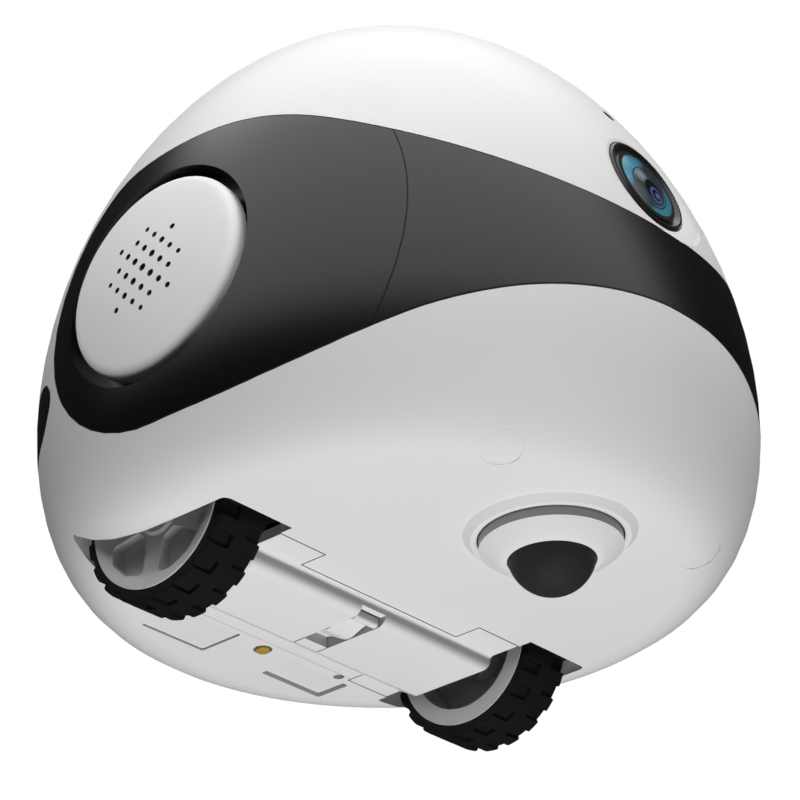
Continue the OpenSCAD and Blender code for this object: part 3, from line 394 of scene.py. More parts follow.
def painted_shade_in_sound_holes(node, place, normal):
    """1 on the walls of the sound holes, which run along the X axis: painted shade in the holes."""
    low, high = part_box(node)
    middle = (low + high) / 2
    near = np.hypot(place[:, 1] - middle.y, place[:, 2] - middle.z) < GRILLE_R
    return np.where(near & (np.abs(normal[:, 0]) < HOLE_TILT), 1, 0)


# Shader nodes

def feed(tree, socket, value):
    """Give a socket a plain value or a link."""
    if isinstance(value, bpy.types.NodeSocket):
        tree.links.new(value, socket)
    else:
        socket.default_value = value


def maths(tree, operation, a, b):
    node = tree.nodes.new("ShaderNodeMath")
    node.operation = operation
    feed(tree, node.inputs[0], a)
    feed(tree, node.inputs[1], b)
    return node.outputs[0]


def rest_of(tree, value):
    """What a value leaves of 1."""
    return maths(tree, "SUBTRACT", 1.0, value)


def vector_maths(tree, operation, a, b, output="Vector"):
    node = tree.nodes.new("ShaderNodeVectorMath")
    node.operation = operation
    feed(tree, node.inputs[0], a)
    feed(tree, node.inputs[1], b)
    return node.outputs[output]


def soft_step(tree, value, low, high):
    """0 at the low value, 1 at the high value, with a soft change."""
    node = tree.nodes.new("ShaderNodeMapRange")
    node.interpolation_type = "SMOOTHSTEP"
    node.inputs["From Min"].default_value = low
    node.inputs["From Max"].default_value = high
    tree.links.new(value, node.inputs["Value"])
    return node.outputs["Result"]


def noise(tree, vector, scale, detail):
    node = tree.nodes.new("ShaderNodeTexNoise")
    node.inputs["Detail"].default_value = detail
    tree.links.new(vector, node.inputs["Vector"])
    feed(tree, node.inputs["Scale"], scale)
    return node.outputs["Fac"]


def mix_colors(tree, a, b, factor, blend="MIX"):
    """Colour a with colour b laid over it."""
    mix = tree.nodes.new("ShaderNodeMix")
    mix.data_type = "RGBA"
    mix.blend_type = blend
    feed(tree, mix.inputs["Factor"], factor)
    feed(tree, mix.inputs["A"], a)
    feed(tree, mix.inputs["B"], b)
    return mix.outputs["Result"]


def mix_values(tree, a, b, factor):
    """Value a, changing to value b with the factor."""
    mix = tree.nodes.new("ShaderNodeMix")
    feed(tree, mix.inputs["Factor"], factor)
    feed(tree, mix.inputs["A"], a)
    feed(tree, mix.inputs["B"], b)
    return mix.outputs["Result"]


def object_place(tree):
    return tree.nodes.new("ShaderNodeTexCoord").outputs["Object"]


# Shader node groups

SKIN_OUTPUTS = (
    ("Color", "NodeSocketColor"),
    ("Roughness", "NodeSocketFloat"),
    ("Height", "NodeSocketFloat"),
)


def group_tree(name, *inputs):
    """Shader node group with the stated inputs, and the colour, roughness and height of a surface."""
    tree = bpy.data.node_groups.new(name, "ShaderNodeTree")
    for label, kind, default in inputs:
        socket = tree.interface.new_socket(label, in_out="INPUT", socket_type=kind)
        socket.default_value = default
    for label, kind in SKIN_OUTPUTS:
        tree.interface.new_socket(label, in_out="OUTPUT", socket_type=kind)
    return tree, tree.nodes.new("NodeGroupInput").outputs, tree.nodes.new("NodeGroupOutput").inputs


def make_moulded_skin():
    """Mottled colour, uneven gloss and fine spark-eroded grain of a moulded plastic."""
    tree, given, result = group_tree(
        "moulded_skin",
        ("Color", "NodeSocketColor", (0.8, 0.8, 0.8, 1)),
        ("Mottle", "NodeSocketFloat", 0.04),
        ("Mottle Scale", "NodeSocketFloat", 40.0),
        ("Grain Scale", "NodeSocketFloat", 2500.0),
        ("Roughness", "NodeSocketFloat", 0.4),
        ("Gloss Spread", "NodeSocketFloat", 0.1))
    place = object_place(tree)
    cloud = noise(tree, place, given["Mottle Scale"], CLOUD_DETAIL)
    grain = noise(tree, place, given["Grain Scale"], GRAIN_DETAIL)
    shade = rest_of(tree, maths(tree, "MULTIPLY", cloud, given["Mottle"]))
    color = mix_colors(tree, given["Color"], shade, 1.0, "MULTIPLY")
    uneven = maths(tree, "MULTIPLY", maths(tree, "SUBTRACT", cloud, 0.5), given["Gloss Spread"])
    tree.links.new(color, result["Color"])
    tree.links.new(maths(tree, "ADD", given["Roughness"], uneven), result["Roughness"])
    tree.links.new(grain, result["Height"])
    return tree


def make_turned_metal():
    """Fine turning lines round the X axis and slight colour drift of a machined metal."""
    tree, given, result = group_tree(
        "turned_metal",
        ("Color", "NodeSocketColor", (0.6, 0.6, 0.6, 1)),
        ("Line Scale", "NodeSocketFloat", 6000.0),
        ("Roughness", "NodeSocketFloat", 0.3))
    place = object_place(tree)
    stretch = tree.nodes.new("ShaderNodeMapping")
    stretch.inputs["Scale"].default_value = TURNING_STRETCH
    tree.links.new(place, stretch.inputs["Vector"])
    lines = noise(tree, stretch.outputs["Vector"], given["Line Scale"], GRAIN_DETAIL)
    cloud = noise(tree, place, METAL_CLOUD_SCALE, GRAIN_DETAIL)
    shade = maths(tree, "SUBTRACT", METAL_BRIGHT, maths(tree, "MULTIPLY", cloud, METAL_DRIFT))
    rough = maths(tree, "MULTIPLY", lines, TURNING_ROUGHNESS)
    tree.links.new(mix_colors(tree, given["Color"], shade, 1.0, "MULTIPLY"), result["Color"])
    tree.links.new(maths(tree, "ADD", given["Roughness"], rough), result["Roughness"])
    tree.links.new(lines, result["Height"])
    return tree


MOULDED_SKIN = make_moulded_skin()
TURNED_METAL = make_turned_metal()


# Materials

def blank_material(name):
    material = bpy.data.materials.new(name)
    material.use_nodes = True
    tree = material.node_tree
    return material, tree, tree.nodes["Principled BSDF"]


def dress(name, group, bump, settings, **values):
    """Material with a Principled surface whose colour, roughness and bump come from a node group."""
    material, tree, surface = blank_material(name)
    skin = tree.nodes.new("ShaderNodeGroup")
    skin.node_tree = group
    for label, value in values.items():
        skin.inputs[label.replace("_", " ")].default_value = value
    tree.links.new(skin.outputs["Color"], surface.inputs["Base Color"])
    tree.links.new(skin.outputs["Roughness"], surface.inputs["Roughness"])
    relief = tree.nodes.new("ShaderNodeBump")
    relief.inputs["Strength"].default_value = 1.0
    relief.inputs["Distance"].default_value = bump
    tree.links.new(skin.outputs["Height"], relief.inputs["Height"])
    tree.links.new(relief.outputs["Normal"], surface.inputs["Normal"])
    for label, value in settings.items():
        surface.inputs[label.replace("_", " ")].default_value = value
    return material


def grey(level):
    return (level, level, level, 1.0)


def moulded(name, color, roughness, grain=0.004 * MM, grain_scale=2500.0, mottle=0.04, spread=0.08,
            **settings):
    """Material of a moulded plastic. The settings are inputs of its Principled surface."""
    return dress(name, MOULDED_SKIN, grain, settings, Color=color, Roughness=roughness, Mottle=mottle,
                 Mottle_Scale=MOTTLE_SCALE, Grain_Scale=grain_scale, Gloss_Spread=spread)


def metal(name, color, roughness):
    """Material of a turned metal."""
    return dress(name, TURNED_METAL, TURNING_DEPTH, {"Metallic": 1.0}, Color=color, Roughness=roughness)


def shade_recess(material, deep):
    """Other colour where the piece's mark attribute is set: painted shade on walls, and on the black
    band a white patch.
    """
    tree = material.node_tree
    skin = next(node for node in tree.nodes if node.bl_idname == "ShaderNodeGroup")
    mark = tree.nodes.new("ShaderNodeAttribute")
    mark.attribute_name = "recess"
    color = mix_colors(tree, tuple(skin.inputs["Color"].default_value), deep, mark.outputs["Fac"])
    tree.links.new(color, skin.inputs["Color"])


white_shell = moulded("white_shell", grey(0.84), roughness=0.38, Specular_IOR_Level=0.25)
white_cover = moulded("white_cover", grey(0.92), roughness=0.5, grain=0.008 * MM,
                      Specular_IOR_Level=0.25)
black_band = moulded("black_band", grey(0.004), roughness=0.27, mottle=0.2, spread=0.05,
                     Specular_IOR_Level=1.0)
tyre_rubber = moulded("tyre_rubber", grey(0.013), roughness=0.62, grain=0.02 * MM, grain_scale=1400.0,
                      mottle=0.35, spread=0.2, Specular_IOR_Level=0.15)
hub_plastic = moulded("hub_plastic", grey(0.74), roughness=0.5, mottle=0.06, Specular_IOR_Level=0.25)
ball_plastic = moulded("ball_plastic", grey(0.032), roughness=0.55, grain=0.002 * MM, mottle=0.2,
                       Specular_IOR_Level=0.3)
frame_plastic = moulded("frame_plastic", grey(0.55), roughness=0.5, mottle=0.06)
gear_nylon = moulded("gear_nylon", (0.80, 0.77, 0.68, 1.0), roughness=0.4, Subsurface_Weight=0.05)
dark_plastic = moulded("dark_plastic", grey(0.02), roughness=0.5, mottle=0.2)
bezel_plastic = moulded("bezel_plastic", grey(0.016), roughness=0.3, mottle=0.1, Specular_IOR_Level=1.0)
# Dark filler in the ear seams, and the painted shadow strip under the band.
seam_filler_and_painted_shadow = moulded("seam_filler_and_painted_shadow", grey(0.006), roughness=0.5, mottle=0.1, Specular_IOR_Level=0.4)
cone_paper = moulded("cone_paper", grey(0.03), roughness=0.7, grain=0.03 * MM, grain_scale=900.0,
                     mottle=0.3)
pad_rubber = moulded("pad_rubber", grey(0.80), roughness=0.6, grain=0.01 * MM, grain_scale=1800.0,
                     Specular_IOR_Level=0.25)
board_lacquer = moulded("board_lacquer", (0.03, 0.20, 0.09, 1.0), roughness=0.3, mottle=0.3,
                        Coat_Weight=0.4)
battery_wrap = moulded("battery_wrap", (0.16, 0.27, 0.40, 1.0), roughness=0.35, mottle=0.15,
                       Coat_Weight=0.3)
gold_contact = moulded("gold_contact", (0.62, 0.43, 0.08, 1.0), roughness=0.35, Metallic=0.3)
# Painted shade: darker colours on the walls of underside recesses, steps and gaps, and of the sound
# holes. The black band's second colour is a white patch where the camera dish cuts it.
shade_recess(white_shell, grey(0.38))
shade_recess(pad_rubber, grey(0.42))
shade_recess(white_cover, grey(0.12))
shade_recess(black_band, grey(0.84))
steel = metal("steel", grey(0.62), roughness=0.25)
brass = metal("brass", (0.78, 0.58, 0.26, 1.0), roughness=0.25)


def make_lens_coating_and_reflections():
    """Coated front glass: cyan at two sides, dark between, a painted pale reflection and a painted
    violet reflection ring.
    """
    material, tree, surface = blank_material("lens_coating_and_reflections")
    offset = vector_maths(tree, "SUBTRACT", object_place(tree), GLASS_MIDDLE)
    sideways = COATING_RUN.cross(LENS_AXIS)
    along = vector_maths(tree, "DOT_PRODUCT", offset, COATING_RUN / GLASS_R, "Value")
    across = vector_maths(tree, "DOT_PRODUCT", offset, sideways / GLASS_R, "Value")
    flat = tree.nodes.new("ShaderNodeCombineXYZ")
    tree.links.new(along, flat.inputs["X"])
    tree.links.new(across, flat.inputs["Y"])

    def spot(x, y, inner, outer):
        gap = vector_maths(tree, "DISTANCE", flat.outputs[0], (x, y, 0.0), "Value")
        return rest_of(tree, soft_step(tree, gap, inner, outer))

    def ring(x, y, radius, half):
        hollow = rest_of(tree, spot(x, y, radius - half, radius))
        return maths(tree, "MULTIPLY", spot(x, y, radius, radius + half), hollow)

    masks = {"spot": spot, "ring": ring}
    ends = soft_step(tree, maths(tree, "ABSOLUTE", along, 0.0), *COATING_ENDS)
    color = mix_colors(tree, COATING_BASE, COATING_CYAN, ends)
    for kind, place, sizes, tint in COATING_AND_REFLECTION_LAYERS.values():
        color = mix_colors(tree, color, tint, masks[kind](*place, *sizes))
    tree.links.new(color, surface.inputs["Base Color"])
    surface.inputs["Roughness"].default_value = GLASS_ROUGHNESS
    surface.inputs["Coat Weight"].default_value = GLASS_COAT
    surface.inputs["Coat Roughness"].default_value = GLASS_COAT_ROUGHNESS
    return material


lens_coating_and_reflections = make_lens_coating_and_reflections()


# Treaded tyres

def wall_step(x, edge):
    """0 before the edge, 1 past it, with a steep wall between."""
    return np.clip((x - edge) / TREAD_WALL + 0.5, 0, 1)


def grid_lines(start, end, edges, pitch):
    """Grid places from start to end with a pair at each wall and none further apart than the pitch."""
    fixed = sorted([start, end] + [edge + side * TREAD_WALL / 2 for edge in edges for side in (-1, 1)])
    lines = [start]
    for place in fixed[1:]:
        count = max(1, math.ceil((place - lines[-1]) / pitch))
        lines += [lines[-1] + (place - lines[-1]) * k / count for k in range(1, count + 1)]
    return np.array(lines)


def notch_depth(s, share, pitch):
    """1 where a place along the tread lies in a notch, 0 where it lies on a lug."""
    starts = [wall_step(s, (share[0] + turn) * pitch) for turn in (-1, 0, 1)]
    ends = [1 - wall_step(s, (share[1] + turn) * pitch) for turn in (-1, 0, 1)]
    return max(min(pair) for pair in zip(starts, ends))


def tread_segment(side, tyre_r, inner, width):
    """One lug pitch of the tyre round the X axis: two staggered rows of notches, round shoulders."""
    pitch = 2 * math.pi * tyre_r / TREAD_LUGS
    walls = [share % 1 * pitch for share in (*INNER_NOTCH, OUTER_NOTCH[1])]
    along = grid_lines(0, pitch, walls, TREAD_PITCH_ALONG)
    rows = (INNER_NOTCH_L, width - OUTER_NOTCH_L)
    flat = grid_lines(TREAD_SHOULDER, width - TREAD_SHOULDER, rows, TREAD_PITCH_ACROSS)
    bend = TREAD_SHOULDER * (1 - np.cos(np.linspace(0, math.pi / 2, SHOULDER_STEPS + 1)[:-1]))
    across = np.concatenate([bend, flat, width - bend[::-1]])
    edge = np.clip(TREAD_SHOULDER - np.minimum(across, width - across), 0, None)
    crown = tyre_r - TREAD_SHOULDER + np.sqrt(TREAD_SHOULDER ** 2 - edge ** 2)
    inner_row = 1 - wall_step(across, INNER_NOTCH_L)
    outer_row = wall_step(across, width - OUTER_NOTCH_L)
    verts, faces = [], []
    for s in along:
        inner_cut = np.minimum(inner_row, notch_depth(s, INNER_NOTCH, pitch))
        outer_cut = np.minimum(outer_row, notch_depth(s, OUTER_NOTCH, pitch))
        ring = list(zip(across, crown - TREAD_DEPTH * np.maximum(inner_cut, outer_cut)))
        ring += [(width, RIM_R), (0, RIM_R)]
        angle = s / tyre_r
        for place, radius in ring:
            verts.append((side * (inner + place), radius * math.sin(angle), radius * math.cos(angle)))
    per = len(across) + 2
    for i in range(len(along) - 1):
        quads = ring_faces(i * per, (i + 1) * per, per)
        faces += quads if side < 0 else [quad[::-1] for quad in quads]
    mesh = make_mesh("tread_segment", verts, faces)
    mesh.shade_smooth()
    return mesh


def make_ring_tree():
    """Geometry nodes: copies of a segment turned about the X axis, joined and set on an axle."""
    tree = bpy.data.node_groups.new("ring_of_segments", "GeometryNodeTree")
    for label, kind in (("Geometry", "Geometry"), ("Count", "Int"), ("Axle", "Vector"),
                        ("Material", "Material")):
        tree.interface.new_socket(label, in_out="INPUT", socket_type="NodeSocket" + kind)
    tree.interface.new_socket("Geometry", in_out="OUTPUT", socket_type="NodeSocketGeometry")
    nodes, links = tree.nodes, tree.links
    given, result = nodes.new("NodeGroupInput"), nodes.new("NodeGroupOutput")
    points = nodes.new("GeometryNodePoints")
    links.new(given.outputs["Count"], points.inputs["Count"])
    step = maths(tree, "DIVIDE", 2 * math.pi, given.outputs["Count"])
    index = nodes.new("GeometryNodeInputIndex").outputs["Index"]
    turn = nodes.new("ShaderNodeCombineXYZ")
    links.new(maths(tree, "MULTIPLY", index, step), turn.inputs["X"])
    copies = nodes.new("GeometryNodeInstanceOnPoints")
    links.new(points.outputs[0], copies.inputs["Points"])
    links.new(given.outputs["Geometry"], copies.inputs["Instance"])
    links.new(turn.outputs[0], copies.inputs["Rotation"])
    real = nodes.new("GeometryNodeRealizeInstances")
    links.new(copies.outputs[0], real.inputs["Geometry"])
    weld = nodes.new("GeometryNodeMergeByDistance")
    weld.inputs["Distance"].default_value = SEGMENT_WELD
    links.new(real.outputs[0], weld.inputs["Geometry"])
    place = nodes.new("GeometryNodeTransform")
    links.new(weld.outputs[0], place.inputs["Geometry"])
    links.new(given.outputs["Axle"], place.inputs["Translation"])
    finish = nodes.new("GeometryNodeSetMaterial")
    links.new(place.outputs[0], finish.inputs["Geometry"])
    links.new(given.outputs["Material"], finish.inputs["Material"])
    links.new(finish.outputs[0], result.inputs["Geometry"])
    return tree


def run_nodes(name, mesh, tree, **values):
    """Plain mesh that a geometry node tree makes from a start mesh."""
    start = bpy.data.objects.new(name, mesh)
    bpy.context.scene.collection.objects.link(start)
    modifier = start.modifiers.new(tree.name, "NODES")
    modifier.node_group = tree
    for item in tree.interface.items_tree:
        if item.in_out == "INPUT" and item.name in values:
            modifier[item.identifier] = values[item.name]
    graph = bpy.context.evaluated_depsgraph_get()
    made = bpy.data.meshes.new_from_object(start.evaluated_get(graph), depsgraph=graph)
    bpy.data.objects.remove(start)
    made.name = name + "_mesh"
    return made


RING_OF_SEGMENTS = make_ring_tree()


def make_tyre(hand, side):
    """Tyre with its tread, in the space of the plain CAD tyre."""
    node = "tyre_" + hand
    low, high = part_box(node)
    axle = Vector((0, (low.y + high.y) / 2, (low.z + high.z) / 2))
    tyre_r = (high.z - low.z) / 2
    inner, width = min(abs(low.x), abs(high.x)), high.x - low.x
    segment = tread_segment(side, tyre_r, inner, width)
    mesh = run_nodes(node + "_tread", segment, RING_OF_SEGMENTS, Count=TREAD_LUGS, Axle=axle,
                     Material=tyre_rubber)
    mesh.set_sharp_from_angle(angle=math.radians(TYRE_SHARP_DEG))
    return link_piece(node + "_tread", mesh, BODY_OF[node], SLOT_OF[node], node)


for hand, side in HANDS:
    make_tyre(hand, side)

# Shells and other pieces that show
smooth_piece("upper_shell", white_shell, on_body=True)
smooth_piece("lower_shell", white_shell, sharp_deg=SHELL_SHARP_DEG, on_body=True, mark=painted_shade_on_steep_walls)
smooth_piece("screw_plugs", white_shell, on_body=True, mark=painted_shade_on_steep_walls)
smooth_piece("front_band", black_band, on_body=True, mark=dish_floor)
for node in ("ear_panel_right", "ear_panel_left", "rear_strip"):
    smooth_piece(node, black_band, on_body=True)
for node in ("speaker_cover_right", "speaker_cover_left"):
    smooth_piece(node, white_cover, mark=painted_shade_in_sound_holes)
for node in ("belly_cover", "cover_latch", "caster_cap"):
    smooth_piece(node, white_shell, sharp_deg=FINE_SHARP_DEG, mark=painted_shade_on_steep_walls)
smooth_piece("rear_pads", pad_rubber, mark=painted_shade_on_steep_walls)
for node in ("hub_right", "hub_left"):
    smooth_piece(node, hub_plastic, sharp_deg=FINE_SHARP_DEG)
smooth_piece("caster_ball", ball_plastic, sharp_deg=BALL_SHARP_DEG)
smooth_piece("lens_glass", lens_coating_and_reflections)
smooth_piece("lens_bezel", bezel_plastic)
smooth_piece("power_button", dark_plastic)


# Sleeve, seals and the painted shadow under the band

def make_mic_gasket():
    """Dark sleeve that lines the microphone hole in the shell's wall."""
    low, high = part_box("microphone")
    middle = np.array((low + high) / 2)[None, :]
    axis = Vector(body_normals(middle)[0])
    mouth = Vector(middle[0]) - axis * float(body_distance(middle)[0])
    aside = Vector((1, 0, 0))
    over = axis.cross(aside)
    per = len(GASKET_PROFILE)
    verts, faces = [], []
    for i in range(GASKET_TURNS):
        angle = 2 * math.pi * i / GASKET_TURNS
        out = aside * math.cos(angle) + over * math.sin(angle)
        verts += [mouth + out * (radius * MM) + axis * (rise * MM) for radius, rise in GASKET_PROFILE]
        faces += ring_faces(i * per, (i + 1) % GASKET_TURNS * per, per)
    mesh = make_mesh("mic_gasket_mesh", verts, faces, dark_plastic)
    mesh.shade_smooth()
    mesh.set_sharp_from_angle(angle=math.radians(GASKET_SHARP_DEG))
    link_piece("mic_gasket", mesh, BODY_OF["microphone"], SLOT_OF["microphone"])


def make_seal(name, node, edges, depth, closed, material):
    """Thin strip that closes a gap between flush pieces a little below the body's outer surface."""
    rows = [edge - body_normals(edge) * low for low in (depth, depth + SEAL_T) for edge in edges]
    ring = np.stack([rows[0], rows[1], rows[3], rows[2]], axis=1)
    count = len(ring)
    faces = [] if closed else [(0, 1, 2, 3), tuple(4 * (count - 1) + k for k in (3, 2, 1, 0))]
    for i in range(count if closed else count - 1):
        faces += ring_faces(4 * i, 4 * ((i + 1) % count), 4)
    mesh = make_mesh(name + "_mesh", ring.reshape(-1, 3), faces, material)
    link_piece(name, mesh, BODY_OF[node], SLOT_OF[node])


def make_ear_seals():
    """Seals of the two upright seams between the front band and the ear panels."""
    place = vertex_places(frame["nodes"]["front_band"].data)
    ahead, rise = EAR_Y - place[:, 1], place[:, 2] - EAR_Z
    at_seam = np.abs(np.hypot(ahead, rise) - EAR_SEAM_R) < EAR_SEAM_W
    angles = np.arctan2(rise, ahead)[at_seam]
    angle = np.linspace(angles.min(), angles.max(), EAR_SEAL_STEPS)
    for hand, side in HANDS:
        edges = []
        for share in (-EAR_SEAL_SHARE, EAR_SEAL_SHARE):
            radius = EAR_SEAM_R + share * EAR_SEAM_W
            y, z = EAR_Y - radius * np.cos(angle), EAR_Z + radius * np.sin(angle)
            edges.append(np.stack([side * np.sqrt(body_radius(z) ** 2 - y ** 2), y, z], axis=1))
        make_seal("ear_seal_" + hand, "front_band", edges, EAR_SEAL_DEPTH, False, seam_filler_and_painted_shadow)


def make_plug_seals():
    """Seals round the two screw plugs."""
    low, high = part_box("screw_plugs")
    middle_x, middle_y = high.x - PLUG_R, (low.y + high.y) / 2
    angle = np.linspace(0, 2 * math.pi, PLUG_SEAL_STEPS, endpoint=False)
    for hand, side in HANDS:
        edges = []
        for gap in PLUG_GAP:
            x = side * middle_x + (PLUG_R + gap) * np.cos(angle)
            y = middle_y + (PLUG_R + gap) * np.sin(angle)
            edges.append(np.stack([x, y, base_height(x, y)], axis=1))
        make_seal("plug_seal_" + hand, "screw_plugs", edges, PLUG_SEAL_DEPTH, True, white_shell)


def lower_edges(bm):
    """Edges where a band piece's outer face meets a wall that looks down, and each vertex's way down."""
    edges = [edge for edge in bm.edges if edge.calc_face_angle(0) > SEAM_ANGLE]
    middle = np.array([(edge.verts[0].co + edge.verts[1].co) / 2 for edge in edges])
    on_skin = np.abs(body_distance(middle)) < SKIN_NEAR
    on_skin &= np.hypot(middle[:, 1] - EAR_Y, middle[:, 2] - EAR_Z) > EAR_RIM_R
    lower, ways = [], {}
    for edge, normal in zip(np.array(edges, object)[on_skin], body_normals(middle)[on_skin]):
        sides = [np.array(face.normal) for face in edge.link_faces]
        wall, skin = sorted(sides, key=lambda n: n @ normal)
        at_seam = skin @ normal > SEAM_SKIN_FACING and abs(wall @ normal) < SEAM_WALL_FACING
        if at_seam and wall[2] < SEAM_WALL_DOWN:
            lower.append(edge)
            for vert in edge.verts:
                ways[vert] = ways.get(vert, 0) + wall - (wall @ normal) * normal
    return lower, ways


def make_band_painted_shadow():
    """Dark strip along the seam below the black band, from ear to ear: a painted shadow of the seam's
    gap.
    """
    verts, faces = [], []
    for node in ("front_band", "ear_panel_right", "ear_panel_left"):
        source = merged_mesh(node)
        bm = bmesh.new()
        bm.from_mesh(source)
        bpy.data.meshes.remove(source)
        lower, ways = lower_edges(bm)
        start = {}
        for vert, way in ways.items():
            down = way / np.linalg.norm(way)
            place = np.array(vert.co)
            normal = body_normals(place[None, :])[0]
            start[vert] = len(verts)
            for low, deep in BAND_PAINTED_SHADOW_SECTION:
                verts.append(place + down * (low * MM) - normal * (deep * MM))
        for edge in lower:
            faces += ring_faces(start[edge.verts[0]], start[edge.verts[1]], len(BAND_PAINTED_SHADOW_SECTION))
        bm.free()
    mesh = make_mesh("band_painted_shadow_mesh", verts, faces, seam_filler_and_painted_shadow)
    bm = bmesh.new()
    bm.from_mesh(mesh)
    bmesh.ops.holes_fill(bm, edges=bm.edges, sides=len(BAND_PAINTED_SHADOW_SECTION))
    bmesh.ops.recalc_face_normals(bm, faces=bm.faces)
    bm.to_mesh(mesh)
    bm.free()
    link_piece("band_painted_shadow", mesh, BODY_OF["front_band"], SLOT_OF["front_band"])


make_mic_gasket()
make_ear_seals()
make_plug_seals()
make_band_painted_shadow()

# Materials of the CAD pieces that show as they are
FINISHES = {
    "speaker_driver": cone_paper, "button_board": board_lacquer, "charge_socket": steel,
    "case_screws": steel, "charge_contact": gold_contact, "caster_cup": frame_plastic,
    "drive_housing": dark_plastic, "housing_screws": steel, "motor_right": steel, "motor_left": steel,
    "pinion_right": brass, "pinion_left": brass, "drive_gear_right": gear_nylon,
    "drive_gear_left": gear_nylon, "axle_right": steel, "axle_left": steel, "axle_bush_right": brass,
    "axle_bush_left": brass, "inner_frame": frame_plastic, "battery": battery_wrap,
    "main_board": board_lacquer, "board_screws": steel, "lens_barrel": dark_plastic,
    "inner_lens": dark_plastic, "camera_board": board_lacquer, "microphone": dark_plastic,
}
for node, material in FINISHES.items():
    slots = frame["nodes"][node].data.materials
    slots.clear()
    slots.append(material)


# Floor, light and camera

def make_floor():
    """Pale floor that shows from above only and fades into the background with distance."""
    material = bpy.data.materials.new("floor_paper")
    material.use_nodes = True
    tree = material.node_tree
    tree.nodes.clear()
    output = tree.nodes.new("ShaderNodeOutputMaterial")
    paper = tree.nodes.new("ShaderNodeBsdfDiffuse")
    paper.inputs["Color"].default_value = grey(FLOOR_LEVEL)
    clear = tree.nodes.new("ShaderNodeBsdfTransparent")
    seen = tree.nodes.new("ShaderNodeLightPath").outputs["Is Camera Ray"]
    behind = tree.nodes.new("ShaderNodeNewGeometry").outputs["Backfacing"]
    distance = vector_maths(tree, "DISTANCE", object_place(tree), (0.0, 0.0, 0.0), "Value")
    hidden = maths(tree, "MAXIMUM", behind, soft_step(tree, distance, *FLOOR_FADE))
    through = maths(tree, "MAXIMUM", hidden, rest_of(tree, seen))
    mix = tree.nodes.new("ShaderNodeMixShader")
    tree.links.new(through, mix.inputs["Fac"])
    tree.links.new(paper.outputs[0], mix.inputs[1])
    tree.links.new(clear.outputs[0], mix.inputs[2])
    tree.links.new(mix.outputs[0], output.inputs["Surface"])
    corners = [(x * FLOOR_HALF, y * FLOOR_HALF, 0) for x, y in ((-1, -1), (1, -1), (1, 1), (-1, 1))]
    mesh = make_mesh("floor_mesh", corners, [(0, 1, 2, 3)], material)
    floor = bpy.data.objects.new("floor", mesh)
    bpy.context.scene.collection.objects.link(floor)


def view_direction(azimuth_deg, elevation_deg):
    """Direction towards a viewpoint: azimuth 0 is straight in front, elevation 0 is level."""
    azimuth, elevation = math.radians(azimuth_deg), math.radians(elevation_deg)
    level = math.cos(elevation)
    return Vector((math.sin(azimuth) * level, -math.cos(azimuth) * level, math.sin(elevation)))


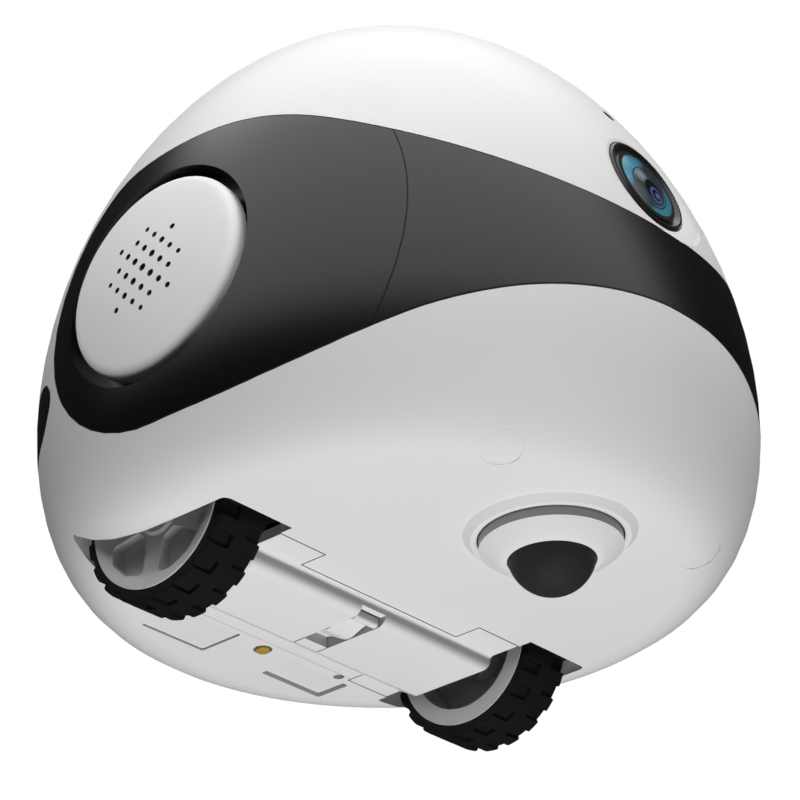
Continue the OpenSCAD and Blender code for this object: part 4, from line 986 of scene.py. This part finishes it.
def make_world():
    """Soft light, stronger from above, with a plain white background and a dim room for reflections."""
    world = bpy.data.worlds.new("studio")
    world.use_nodes = True
    world.cycles.sampling_method = "NONE"
    bpy.context.scene.world = world
    tree = world.node_tree
    back = tree.nodes["Background"]
    back.inputs["Color"].default_value = grey(1.0)
    place = tree.nodes.new("ShaderNodeTexCoord").outputs["Generated"]
    split = tree.nodes.new("ShaderNodeSeparateXYZ")
    tree.links.new(place, split.inputs["Vector"])
    height = split.outputs["Z"]
    rise = maths(tree, "MULTIPLY", maths(tree, "MAXIMUM", height, 0.0), SKY_SLOPE)
    sky = maths(tree, "ADD", rise, SKY_LEVEL)
    facing = vector_maths(tree, "DOT_PRODUCT", place, view_direction(CEILING_AZIMUTH, 0), "Value")
    near = soft_step(tree, facing, *CEILING_SIDE)
    top = maths(tree, "MULTIPLY", soft_step(tree, height, *CEILING_TOP), FAR_TOP_LEVEL)
    far = maths(tree, "MULTIPLY", top, rest_of(tree, near))
    rising = soft_step(tree, height, *CEILING_RISE)
    ceiling = maths(tree, "MULTIPLY", rising, maths(tree, "ADD", near, far))
    glow = maths(tree, "ADD", maths(tree, "MULTIPLY", height, CEILING_SLOPE), CEILING_LEVEL)
    mirror = maths(tree, "ADD", maths(tree, "MULTIPLY", ceiling, glow), ROOM_LEVEL)
    light = tree.nodes.new("ShaderNodeLightPath").outputs
    seen = maths(tree, "MAXIMUM", light["Is Camera Ray"], light["Is Transmission Ray"])
    unseen = mix_values(tree, sky, mirror, light["Is Glossy Ray"])
    tree.links.new(mix_values(tree, unseen, 1.0, seen), back.inputs["Strength"])


def make_lamp(name, azimuth_deg, elevation_deg, level):
    """Soft round lamp that gives a white surface facing it the stated level of light."""
    away = view_direction(azimuth_deg, elevation_deg)
    data = bpy.data.lights.new(name, "AREA")
    data.shape = "DISK"
    data.size = LAMP_SIZE
    data.energy = math.pi ** 2 * LAMP_DISTANCE ** 2 * level
    lamp = bpy.data.objects.new(name, data)
    lamp.location = LAMP_AIM + away * LAMP_DISTANCE
    lamp.rotation_euler = away.to_track_quat("Z", "Y").to_euler()
    lamp.visible_camera = False
    lamp.visible_glossy = False
    bpy.context.scene.collection.objects.link(lamp)


def make_camera():
    """The photograph's viewpoint: from the front right and well below the floor."""
    back = view_direction(VIEW_AZIMUTH, VIEW_ELEVATION)
    level = Vector((0, 0, 1)).cross(back).normalized()
    rise = back.cross(level)
    right = math.cos(VIEW_ROLL) * level + math.sin(VIEW_ROLL) * rise
    up = -math.sin(VIEW_ROLL) * level + math.cos(VIEW_ROLL) * rise
    data = bpy.data.cameras.new("view")
    data.lens = VIEW_LENS
    data.sensor_width = VIEW_SENSOR
    data.clip_start = VIEW_CLIP
    camera = bpy.data.objects.new("view", data)
    turned = Matrix((right, up, back)).transposed().to_4x4()
    camera.matrix_world = Matrix.Translation(VIEW_AIM + back * VIEW_DISTANCE) @ turned
    bpy.context.scene.collection.objects.link(camera)
    bpy.context.scene.camera = camera


make_world()
make_floor()
for name, (azimuth_deg, elevation_deg, level) in LAMPS.items():
    make_lamp(name, azimuth_deg, elevation_deg, level)
make_camera()
bpy.context.scene.view_settings.view_transform = "Standard"
